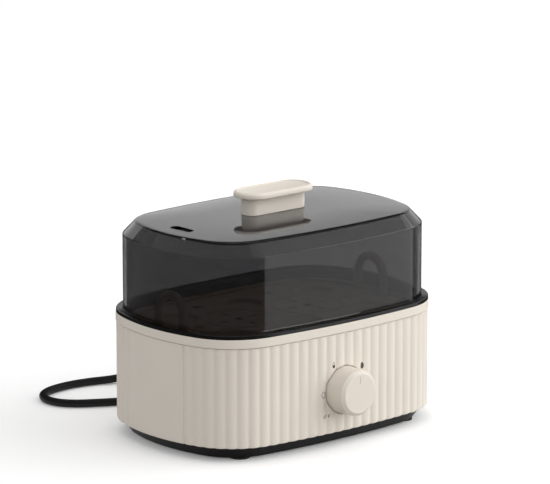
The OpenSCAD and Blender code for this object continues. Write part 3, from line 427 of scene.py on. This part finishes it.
def smooth(points, steps):
    """A curve through points, with steps to each span."""
    points = [Vector(p) for p in points]
    points = [2 * points[0] - points[1], *points, 2 * points[-1] - points[-2]]
    curve = [points[1]]
    for a, b, c, d in zip(points, points[1:], points[2:], points[3:]):
        for t in spread(0, 1, steps):
            bend = (2 * a - 5 * b + 4 * c - d) * t ** 2 + (3 * b - a - 3 * c + d) * t ** 3
            curve.append(b + ((c - a) * t + bend) / 2)
    return curve


def coil_point(u):
    """The coil after u turns: it winds in, climbs in half a turn and winds out again above."""
    climb = (u - COIL_TURNS) / COIL_CLIMB
    if climb < 0:
        radius = COIL_RAD - COIL_STEP * u
    elif climb < 1:
        radius = COIL_INNER - COIL_STEP * (climb - climb ** 2) / 2
    else:
        radius = COIL_INNER + COIL_STEP * (u - COIL_TURNS - COIL_CLIMB)
    lift = COIL_STEP * (1 - math.cos(math.pi * max(0, min(1, climb)))) / 2
    a = 2 * math.pi * u
    return Vector((COIL_X + radius * math.sin(a), COIL_Y + COIL_RAD - radius * math.cos(a), COIL_Z + lift))


cord_points = [(x, y, REST_Z + share * (cord_exit.z - REST_Z)) for x, y, share in DROP_POINTS]
cord_points += [(x, y, REST_Z) for x, y in FLOOR_POINTS]
cord_points += [(x, y, COIL_Z) for x, y in END_POINTS]
coil_count = round(COIL_RINGS * (2 * COIL_TURNS + COIL_CLIMB))
cord_path = smooth(cord_points, CORD_STEPS)
cord_path += [coil_point(i / COIL_RINGS) for i in range(coil_count + 1)]
cord_path += smooth(TAIL_POINTS, CORD_STEPS)

cord_curve = bpy.data.curves.new("mains_cord", "CURVE")
cord_curve.dimensions = "3D"
cord_curve.bevel_depth = CORD_R * MM
cord_curve.bevel_resolution = CORD_BEVEL
cord_curve.use_fill_caps = True
cord_spline = cord_curve.splines.new("POLY")
cord_spline.points.add(len(cord_path) - 1)
for spline_point, place in zip(cord_spline.points, cord_path):
    spline_point.co = (*(place * MM), 1)
cord_spline.use_smooth = True
cord_curve.materials.append(materials["cord_rubber"])
mains_cord = bpy.data.objects.new("mains_cord", cord_curve)
scene.collection.objects.link(mains_cord)
stand_for(mains_cord, "cooker", "cord_rubber", "power_cord", "cord_coil", "cord_tail")

# Housing: flat end panels, reeds between them, and a plain band above a fine groove
PANEL_W = 60
REED_COUNT = 16
REED_RISE = 0.9
REED_VALLEY = 0.84
REED_STEPS = 14
BAND_H = 6.2
BAND_STEP = 0.4
BAND_SOFT = 0.2
PANEL_EDGE = 0.8
PANEL_STEPS = 6
EDGE_STEPS = 5
HOUSE_IN = 4
FOOT_ROUND = 0.8
BAND_ROUND = 0.55
GROOVE_H = 0.5
GROOVE_DEEP = 0.8
GROOVE_SLOPE = 0.1
Z_HOUSE = house_low.z
Z_TOP = house_high.z
PANEL_A = math.degrees(math.asin(PANEL_W / 2 / END_R))
end_len = END_R * math.radians(END_A - PANEL_A)
corner_len = CORNER_R * math.radians(SIDE_A - END_A)
side_len = SIDE_R * math.radians(90 - SIDE_A)
reed_len = end_len + corner_len + side_len


def reed_inset(phase):
    """Inset of the reeded wall at a place across a reed: a round crest and a narrower round valley."""
    out = abs(2 * (phase % 1) - 1)
    near = 1 - out
    bowl = out ** 2 if out < REED_VALLEY else REED_VALLEY - near ** 2 * REED_VALLEY / (1 - REED_VALLEY)
    return BAND_STEP + REED_RISE * bowl / REED_VALLEY


def walk_angle(length):
    """Direction that the wall faces at a length from the panel's edge."""
    if length < end_len:
        return PANEL_A + math.degrees(length / END_R)
    if length < end_len + corner_len:
        return END_A + math.degrees((length - end_len) / CORNER_R)
    return SIDE_A + math.degrees((length - end_len - corner_len) / SIDE_R)


def wall_columns():
    """Directions and insets round the wall below the band."""
    edge_a = math.degrees(PANEL_EDGE / END_R)
    columns = [(a, BAND_STEP) for a in [0] + spread(0, PANEL_A - edge_a, PANEL_STEPS)]
    for t in spread(0, 1, EDGE_STEPS)[:-1]:
        drop = REED_RISE * (1 - math.cos(math.pi * t)) / 2
        columns.append((PANEL_A - edge_a * (1 - t), BAND_STEP + drop))
    steps = REED_COUNT * REED_STEPS
    columns += [(walk_angle(reed_len * i / steps), reed_inset(i / REED_STEPS)) for i in range(steps + 1)]
    return four(columns)


def housing_rings():
    """Rings from the lower edge up the wall, over the band and down the inside."""
    columns = wall_columns()
    z_band = Z_TOP - BAND_H
    # Each row says whether it is reeded, its inset and its height
    rows = [(1, FOOT_ROUND - x, Z_HOUSE + FOOT_ROUND + z) for x, z in fillet(0, 0, FOOT_ROUND, -90, 0)]
    rows += [
        (1, 0, z_band - GROOVE_H),
        (1, GROOVE_DEEP, z_band - GROOVE_H + GROOVE_SLOPE),
        (1, GROOVE_DEEP, z_band),
        (0, BAND_SOFT, z_band),
        (0, 0, z_band + BAND_SOFT),
    ]
    rows += [(0, BAND_ROUND - x, Z_TOP - BAND_ROUND + z) for x, z in fillet(0, 0, BAND_ROUND, 0, 90)]
    rows += [(0, HOUSE_IN, Z_TOP), (0, HOUSE_IN, Z_HOUSE)]
    rings = []
    for reeded, inset, z in held(rows):
        rings.append(level([outline_point(a, inset + reeded * reed) for a, reed in columns], z))
    return rings


knob_low, knob_high = box_mm("control_knob")
KNOB_R = (knob_high.x - knob_low.x) / 2
KNOB_Z = (knob_low.z + knob_high.z) / 2
KNOB_GAP = 0.8
KNOB_REST = 0.3
RECESS_COUNT = 160
BUSH_R = 5.1
RELIEF_R = 9.1
RELIEF_SEAT = 2
RELIEF_NECK_R = 6.6
BORE_DEEP = 3 * HOUSE_IN
FRONT = -HALF_W - CUT_PAST
BACK = HALF_W + CUT_PAST
knob_axis = (0, KNOB_Z)
cord_axis = (cord_exit.x, cord_exit.z)
relief_back = side_c.y + math.sqrt(SIDE_R ** 2 - cord_exit.x ** 2)
housing = shape("housing", *skin(housing_rings(), loop=True), materials["cream_plastic"])
cut(
    housing,
    rod(KNOB_R + KNOB_GAP, FRONT, knob_high.y + KNOB_REST, along_y=True, at=knob_axis, count=RECESS_COUNT),
    rod(BUSH_R, FRONT, -HALF_W + BORE_DEEP, along_y=True, at=knob_axis),
    rod(RELIEF_R, relief_back - RELIEF_SEAT, BACK, along_y=True, at=cord_axis),
    rod(RELIEF_NECK_R, relief_back - BORE_DEEP, BACK, along_y=True, at=cord_axis),
)
paint(housing, materials["cream_plastic"])

# Marks printed round the knob: OFF and three eggs, from soft to hard, each placed from the knob's axis
MARK_DEEP = 0.35
EGG_COUNT = 28
EGG_TAPER = 0.08
STROKE = 0.35
OFF_PLACE = (-16.4, -16.5)
OFF_H = 2.2
OFF_W = 1.6
OFF_STEP = 2.3
ROUND_MORE = 0.2
# Middle, width and height of each egg
SOFT_EGG = ((-19.5, -0.7), 3.3, 4.8)
MEDIUM_EGG = ((-10.1, 18.7), 2.9, 4.4)
MEDIUM_FILL = 0.05
HARD_EGG = ((16.1, 14.1), 3.1, 4.7)


def egg(width, height):
    """The outline of an egg about its middle, narrower at the top."""
    turns = [2 * math.pi * i / EGG_COUNT for i in range(EGG_COUNT)]
    return [
        (width / 2 * math.cos(t) * (1 - EGG_TAPER * math.sin(t)), height / 2 * math.sin(t)) for t in turns
    ]


def mark(place, *outlines):
    """A cutter for an inked mark: one outline filled, or the stroke between two."""
    x0, z0 = place
    low = side_c.y + math.sqrt((SIDE_R - BAND_STEP - REED_RISE) ** 2 - x0 ** 2)
    ends = (FRONT, MARK_DEEP - low)
    rings = [[(x + x0, y, z + z0 + KNOB_Z) for x, z in outlines[0]] for y in ends]
    for outline in outlines[1:]:
        rings += [[(x + x0, y, z + z0 + KNOB_Z) for x, z in outline] for y in reversed(ends)]
    return shape("mark", *skin(rings, loop=len(outlines) > 1), mark_ink)


def egg_line(place, width, height):
    """An egg drawn as a line."""
    return mark(place, egg(width, height), egg(width - 2 * STROKE, height - 2 * STROKE))


def egg_part(place, width, height, top):
    """An egg filled up to a share of its height above its middle."""
    return mark(place, [(x, min(z, top * height)) for x, z in egg(width, height)])


def letter_f(place):
    """The letter F about its middle."""
    left, right, low, high = -OFF_W / 2, OFF_W / 2, -OFF_H / 2, OFF_H / 2
    return mark(place, [
        (left, low), (left + STROKE, low), (left + STROKE, -STROKE / 2), (right - STROKE, -STROKE / 2),
        (right - STROKE, STROKE / 2), (left + STROKE, STROKE / 2), (left + STROKE, high - STROKE),
        (right, high - STROKE), (right, high), (left, high),
    ])


off_x, off_z = OFF_PLACE
medium_place, medium_w, medium_h = MEDIUM_EGG
cut(
    housing,
    egg_line((off_x - OFF_STEP, off_z), OFF_W + ROUND_MORE, OFF_H),
    letter_f((off_x, off_z)),
    letter_f((off_x + OFF_STEP, off_z)),
    egg_line(*SOFT_EGG),
    egg_line(*MEDIUM_EGG),
    egg_part(medium_place, medium_w - STROKE, medium_h - STROKE, MEDIUM_FILL),
    egg_part(*HARD_EGG, 1),
)
stand_for(housing, "cooker", "cream_plastic", "outer_housing")

# Black base under the housing
BASE_IN = 9.8
BASE_TOP_IN = 4
BASE_LIP_IN = 4.3
BASE_LIP_T = 2.5
BASE_LIP_H = 3.4
BASE_T = 3.3
# Steps of inset and height that round the base's lower and upper edge
BASE_FOOT = ((1.2, 0), (0.6, 0.12), (0.15, 0.4), (-0.1, 0.8))
BASE_BROW = ((0.1, -0.3), (0.2, 0))
FOOT_R = 7
FOOT_STEM_R = 2.6
FOOT_COUNT = 32
feet_high = box_mm("rubber_feet")[1]
z_base = box_mm("bottom_base")[0].z
lip_inner = BASE_LIP_IN + BASE_LIP_T
z_lip = Z_HOUSE + BASE_LIP_H
base_profile = edge(BASE_IN, z_base, BASE_FOOT) + edge(BASE_TOP_IN, Z_HOUSE, BASE_BROW)
base_profile += [
    (BASE_LIP_IN, Z_HOUSE), (BASE_LIP_IN, z_lip), (lip_inner, z_lip), (lip_inner, Z_HOUSE),
    (BASE_IN + BASE_T, z_base + BASE_T),
]
# The base takes the darker, less reflective black, as painted shade
base = shape("base", *skin([level(plan(i), z) for i, z in held(base_profile)]), shaded_base_black)
foot_x = feet_high.x - FOOT_R
foot_y = feet_high.y - FOOT_R
foot_places = [(sx * foot_x, sy * foot_y) for sx in (1, -1) for sy in (1, -1)]
cut(base, *[rod(FOOT_STEM_R, -CUT_PAST, Z_HOUSE, at=place, count=FOOT_COUNT) for place in foot_places])
stand_for(base, "cooker", "black_plastic", "bottom_base")

# Black ring round the lid's foot, with the ledge that carries the tray
RIM_IN = 0.3
RIM_ROUND = 0.6
RIM_FALL = 1
RIM_STEPS = 8
LID_ROOM = 0.55
LID_REST = 0.2
LEDGE_IN = 14
WALL_IN = 8.2
rim_low, rim_high = box_mm("rim_ring")
lid_low, lid_high = box_mm("lid_shell")
LID_IN = HALF_L - lid_high.x
Z_SEAT = lid_low.z - LID_REST
Z_LEDGE = 80
LEDGE_T = 2.5
z_rim = rim_high.z
nest_in = LID_IN - LID_ROOM
rim_curve = fillet(0, 0, RIM_ROUND, 0, 90, RIM_STEPS)
rim_profile = [(RIM_IN, Z_TOP)]
rim_profile += [(RIM_IN + RIM_ROUND - x, z_rim - RIM_ROUND + z) for x, z in rim_curve]
rim_profile += [
    (nest_in, z_rim - RIM_FALL), (nest_in, Z_SEAT), (WALL_IN, Z_SEAT), (WALL_IN, Z_LEDGE),
    (LEDGE_IN, Z_LEDGE), (LEDGE_IN, Z_LEDGE - LEDGE_T), (lip_inner, Z_LEDGE - LEDGE_T),
    (lip_inner, rim_low.z), (BASE_LIP_IN, rim_low.z), (BASE_LIP_IN, Z_TOP),
]
rim_rings = [level(plan(i), z) for i, z in held(rim_profile)]
rim = shape("rim", *skin(rim_rings, loop=True), materials["black_plastic"])
stand_for(rim, "cooker", "black_plastic", "rim_ring")

# Smoked lid: straight wall, bevel and a low crown
LID_T = 2.4
LID_WALL_H = 53.7
BEVEL_W = 8.9
BEVEL_H = 9.4
CROWN_FLAT = 0.36
CROWN_STEPS = 16
CROWN_START = 0.996
# Steps of inset and height that round the lid's edges
LID_FOOT = ((0.3, 0), (0.08, 0.08), (0, 0.3))
LID_FOOT_INNER = ((0, 0.3), (-0.3, 0))
WALL_EDGE = ((0, -0.45), (0.09, -0.05), (0.32, 0.32))
BEVEL_EDGE = ((-0.45, -0.45), (-0.05, -0.12))
FLARE = 0.45
FLARE_UP = 0.8
FLARE_H = 1.9
SLOT_L = 21
SLOT_W = 6.8
SLOT_X = -82
HANDLE_SCREW_X = 15
HANDLE_HOLE_R = 1.7
HANDLE_HOLE_COUNT = 24
# Keeps a straight stretch between the two round ends of a slot
SLOT_FLAT = 0.01
flare_in = LID_IN - FLARE
z_foot = lid_low.z
z_wall = z_foot + LID_WALL_H
z_edge = z_wall + BEVEL_H
z_crown = lid_high.z
crown = z_crown - z_edge
bevel_a = math.atan2(BEVEL_H, BEVEL_W)
wall_fall = LID_T * math.tan((math.pi / 2 - bevel_a) / 2)
edge_more = LID_T * math.tan(bevel_a / 2)


def crown_rings(inset, z):
    """Rings of the lid's top from its edge to the flat middle."""
    scales = [CROWN_START] + spread(1, CROWN_FLAT, CROWN_STEPS)
    rise = [crown * (1 - ((k - CROWN_FLAT) / (1 - CROWN_FLAT)) ** 2) for k in scales]
    return [level(plan(inset), z + r, k) for k, r in zip(scales, rise)]


top_in = LID_IN + BEVEL_W
wall_inner = LID_IN + LID_T
lid_profile = [(top_in + edge_more, z_edge - LID_T), (wall_inner, z_wall - wall_fall)]
lid_profile += edge(wall_inner, z_foot, LID_FOOT_INNER) + edge(flare_in, z_foot, LID_FOOT)
lid_profile += [(flare_in, z_rim + FLARE_UP), (LID_IN, z_rim + FLARE_H)]
lid_profile += edge(LID_IN, z_wall, WALL_EDGE) + edge(top_in, z_edge, BEVEL_EDGE)
lid_rings = crown_rings(top_in + edge_more, z_edge - LID_T)[::-1]
lid_rings += [level(plan(i), z) for i, z in held(lid_profile)]
lid_rings += crown_rings(top_in, z_edge)
lid = shape("lid", *skin(lid_rings), materials["smoked_lid"])
slot_outline = [(x + SLOT_X, y) for x, y in slab(SLOT_W, SLOT_L, SLOT_W / 2 - SLOT_FLAT)]
slot_rings = [level(slot_outline, z_edge - 2 * LID_T), level(slot_outline, z_crown + CUT_PAST)]
lid_cutters = [shape("slot", *skin(slot_rings), materials["smoked_lid"])]
hole_ends = (z_edge - LID_T, z_crown + CUT_PAST)
for x in (HANDLE_SCREW_X, -HANDLE_SCREW_X):
    lid_cutters.append(rod(HANDLE_HOLE_R, *hole_ends, at=(x, 0), count=HANDLE_HOLE_COUNT))
cut(lid, *lid_cutters)
paint(lid, materials["smoked_lid"])
# The clear lid lets the light through to the tray
lid.visible_shadow = False
stand_for(lid, "lid", "smoked_lid", "lid_shell")

# Handle: a post with rounded ends under a plate with a raised rim
post_low, post_high = box_mm("handle_post")
cap_low, cap_high = box_mm("handle_cap")
POST_R = 6.7
CAP_ROUND = 2.2
CAP_UNDER = 0.8
CAP_BLUNT = 0.5
CAP_BORDER = 2.4
CAP_DIP = 0.9
# Steps of inset and height that round the post's foot and the edges of the cap's recess
POST_FOOT = ((0.4, 0), (0.1, 0.12), (0, 0.4))
RECESS_BROW = ((-0.1, 0), (0, -0.1))
RECESS_FOOT = ((0.2, 0.1), (0.4, 0))
post_l = post_high.x - post_low.x
post_w = post_high.y - post_low.y
cap_l = cap_high.x - cap_low.x
cap_w = cap_high.y - cap_low.y
cap_r = cap_w / 2 - CAP_BLUNT


def slab_ring(length, width, radius, inset, z):
    """A rounded rectangle drawn in by inset, at a height."""
    return level(slab(length - 2 * inset, width - 2 * inset, radius - inset), z)


post_rows = edge(0, post_low.z, POST_FOOT) + [(0, cap_low.z)]
post_rings = [slab_ring(post_l, post_w, POST_R, i, z) for i, z in held(post_rows)]
post = shape("handle_stem", *skin(post_rings), materials["cream_plastic"])
stand_for(post, "lid", "cream_plastic", "handle_post")

cap_rows = [(CAP_UNDER - x, cap_low.z + CAP_UNDER + z) for x, z in fillet(0, 0, CAP_UNDER, -90, 0)]
cap_rows += [(CAP_ROUND - x, cap_high.z - CAP_ROUND + z) for x, z in fillet(0, 0, CAP_ROUND, 0, 90)]
cap_rows += edge(CAP_BORDER, cap_high.z, RECESS_BROW)
cap_rows += edge(CAP_BORDER, cap_high.z - CAP_DIP, RECESS_FOOT)
cap_rings = [slab_ring(cap_l, cap_w, cap_r, i, z) for i, z in held(cap_rows)]
cap = shape("handle_plate", *skin(cap_rings), materials["cream_plastic"])
stand_for(cap, "lid", "cream_plastic", "handle_cap")

# Control knob: a drafted cup with a chamfered face and a pointer groove
KNOB_DRAFT = 0.6
KNOB_CHAMFER = 1.9
KNOB_CHAMFER_A = 45
KNOB_SOFT = 0.5
KNOB_SOFT_STEPS = 4
KNOB_FLAT_R = 0.4 * KNOB_R
# Steps of radius and depth that round the knob's back edge
KNOB_BACK_EDGE = ((-0.3, 0), (-0.01, -0.3))
KNOB_WALL = 2.4
KNOB_FRONT_T = 3
KNOB_BOSS_R = 6
KNOB_BORE_R = 3.03
KNOB_BOSS_BACK = 4
KNOB_COUNT = 144
POINTER_W = 0.4
POINTER_R0 = 7
POINTER_R1 = 12.2
POINTER_DIP = 0.4
POINTER_STEPS = 6
knob_back = knob_high.y
knob_face = knob_low.y
knob_inner = knob_face + KNOB_FRONT_T
knob_soft_r = KNOB_R - KNOB_DRAFT - KNOB_SOFT
knob_edge = fillet(knob_soft_r, 0, KNOB_SOFT, 0, KNOB_CHAMFER_A, KNOB_SOFT_STEPS)
chamfer_end = (knob_soft_r - KNOB_CHAMFER, KNOB_CHAMFER)
knob_edge += fillet(*chamfer_end, KNOB_SOFT, KNOB_CHAMFER_A, 90, KNOB_SOFT_STEPS)
knob_profile = edge(KNOB_R, knob_back, KNOB_BACK_EDGE)
knob_profile += [(r, knob_face + KNOB_CHAMFER + KNOB_SOFT - y) for r, y in knob_edge]
knob_profile += [(KNOB_FLAT_R, knob_face), (0, knob_face)]
knob_inside = [
    (0, knob_inner), (KNOB_BORE_R, knob_inner), (KNOB_BORE_R, knob_back - KNOB_BOSS_BACK),
    (KNOB_BOSS_R, knob_back - KNOB_BOSS_BACK), (KNOB_BOSS_R, knob_inner),
    (KNOB_R - KNOB_WALL - KNOB_DRAFT, knob_inner), (KNOB_R - KNOB_WALL, knob_back),
]


def lathe_y(profile, x, z, count):
    """Rings of a profile of radius and y, turned round an axis along Y."""
    turns = [2 * math.pi * i / count for i in range(count)]
    return [[(x + r * math.cos(t), y, z + r * math.sin(t)) for t in turns] for r, y in profile]


knob_rings = lathe_y(held(knob_profile + knob_inside), 0, KNOB_Z, KNOB_COUNT)
knob = shape("knob", *skin(knob_rings, loop=True), materials["cream_plastic"])
pointer_flat = slab(POINTER_W, POINTER_R1 - POINTER_R0, POINTER_W / 2 - SLOT_FLAT, POINTER_STEPS)
pointer_z = KNOB_Z + (POINTER_R0 + POINTER_R1) / 2
pointer_ends = (knob_face - CUT_PAST, knob_face + POINTER_DIP)
pointer_rings = [[(x, y, z + pointer_z) for x, z in pointer_flat] for y in pointer_ends]
cut(knob, shape("pointer", *skin(pointer_rings), materials["cream_plastic"]))
stand_for(knob, "knob", "cream_plastic", "control_knob")

# Light: a pale world and one large soft lamp from the front right
WORLD_LIGHT = 0.8
LAMP_SIZE = 3000
LAMP_POWER = 49
LAMP_PLACE = Vector((1450, -1320, 740))
LAMP_AIM = Vector((0, 0, 80))
FLOOR_COLOUR = 0.45
FLOOR_SEEN = 0.95
FLOOR_GLOW = 0.13
FLOOR_HALF = 6000
FLAG_SHADE = 0.01
# Rays that see the white background: the camera's, and those that glossy and clear surfaces pass on
SEEN_RAYS = ("Is Camera Ray", "Is Glossy Ray", "Is Transmission Ray")
MIRROR_RAYS = ("Is Glossy Ray",)


def any_ray(tree, *names):
    """1 for rays of the named kinds and 0 for the others."""
    path = tree.nodes.new("ShaderNodeLightPath")
    value = path.outputs[names[0]]
    for name in names[1:]:
        either = tree.nodes.new("ShaderNodeMath")
        either.operation = "MAXIMUM"
        tree.links.new(value, either.inputs[0])
        tree.links.new(path.outputs[name], either.inputs[1])
        value = either.outputs["Value"]
    return value


def between(tree, value, low, high):
    """low where the value is 0 and high where it is 1."""
    node = tree.nodes.new("ShaderNodeMapRange")
    node.inputs["To Min"].default_value = low
    node.inputs["To Max"].default_value = high
    tree.links.new(value, node.inputs["Value"])
    return node.outputs["Result"]


world = bpy.data.worlds.new("studio")
scene.world = world
world.use_nodes = True
sky = world.node_tree.nodes["Background"]
sky.inputs["Color"].default_value = (1, 1, 1, 1)
sky_rays = any_ray(world.node_tree, *SEEN_RAYS)
world.node_tree.links.new(between(world.node_tree, sky_rays, WORLD_LIGHT, 1), sky.inputs["Strength"])

lamp_data = bpy.data.lights.new("softbox", "AREA")
lamp_data.shape = "SQUARE"
lamp_data.size = LAMP_SIZE * MM
lamp_data.energy = LAMP_POWER
lamp = bpy.data.objects.new("softbox", lamp_data)
lamp.location = LAMP_PLACE * MM
lamp.rotation_euler = (LAMP_AIM - LAMP_PLACE).to_track_quat("-Z", "Y").to_euler()
lamp.visible_glossy = False
scene.collection.objects.link(lamp)


def stage_paint(name, rays, glow, seen=FLAG_SHADE, unseen=FLAG_SHADE):
    """A dull paint for the studio: the named rays see a shade and a glow, and the others a shade."""
    material, tree, shader = new_material(name)
    shader.inputs["Roughness"].default_value = 1
    shader.inputs["Specular IOR Level"].default_value = 0
    shader.inputs["Emission Color"].default_value = (1, 1, 1, 1)
    chosen = any_ray(tree, *rays)
    tree.links.new(between(tree, chosen, unseen, seen), shader.inputs["Base Color"])
    tree.links.new(between(tree, chosen, 0, glow), shader.inputs["Emission Strength"])
    return material


def stage_sheet(name, points, faces, material):
    """An open sheet of the studio, which isn't part of the object."""
    mesh = bpy.data.meshes.new(name)
    mesh.from_pydata([Vector(p) * MM for p in points], [], faces)
    mesh.materials.append(material)
    sheet = bpy.data.objects.new(name, mesh)
    scene.collection.objects.link(sheet)
    return sheet


floor_corners = [(sx * FLOOR_HALF, sy * FLOOR_HALF, 0) for sx, sy in ((-1, -1), (1, -1), (1, 1), (-1, 1))]
floor_paint = stage_paint("floor", SEEN_RAYS, FLOOR_GLOW, FLOOR_SEEN, FLOOR_COLOUR)
stage_sheet("floor", floor_corners, [(0, 1, 2, 3)], floor_paint)

# Surround that only reflections see: dark flags and a white card near the lid, and screens farther out
FLAG_R = 330
FLAG_H = 150
CARD_START = 280.5
CARD_END = 335
CARD_GLOW = 0.88
SCREEN_R = 1200
# Lowest and highest elevation, first and last direction, and glow of each screen
SCREENS = {
    "hood": (29, 53, -2, 92, 0.05),
    "veil": (-4, 29, -2, 97, 0.77),
    "wing": (-4, 33, 97, 285, 0.05),
    "brow": (36, 78, -62, -2, 0.42),
    "crest": (33, 84, 92, 298, 0.18),
    "sill": (0, 15, -68, -4, 0.02),
    "strip": (15, 29, -68, -4, 2.7),
}
ARC_STEP = 4


def arc_sheet(name, radius, low, high, start, end, material):
    """An upright sheet bent round the object between two directions, seen in reflections only."""
    count = max(1, round((end - start) / ARC_STEP))
    turns = [math.radians(start + (end - start) * i / count) for i in range(count + 1)]
    points = [(radius * math.cos(t), radius * math.sin(t), z) for z in (low, high) for t in turns]
    faces = [(i, i + 1, i + count + 2, i + count + 1) for i in range(count)]
    sheet = stage_sheet(name, points, faces, material)
    sheet.visible_camera = False
    sheet.visible_diffuse = False
    sheet.visible_transmission = False
    sheet.visible_shadow = False


def screen(name, low, high, start, end, glow):
    """A far sheet between two elevations over the lid, in degrees, with a glow."""
    heights = [z_crown + SCREEN_R * math.tan(math.radians(a)) for a in (low, high)]
    arc_sheet(name, SCREEN_R, *heights, start, end, stage_paint(name, MIRROR_RAYS, glow))


flag_paint = stage_paint("flag", MIRROR_RAYS, 0)
card_paint = stage_paint("card", MIRROR_RAYS, CARD_GLOW)
arc_sheet("flag", FLAG_R, 0, FLAG_H, CARD_END, CARD_START + 360, flag_paint)
arc_sheet("card", FLAG_R, 0, FLAG_H, CARD_START, CARD_END, card_paint)
for screen_name, screen_sizes in SCREENS.items():
    screen(screen_name, *screen_sizes)
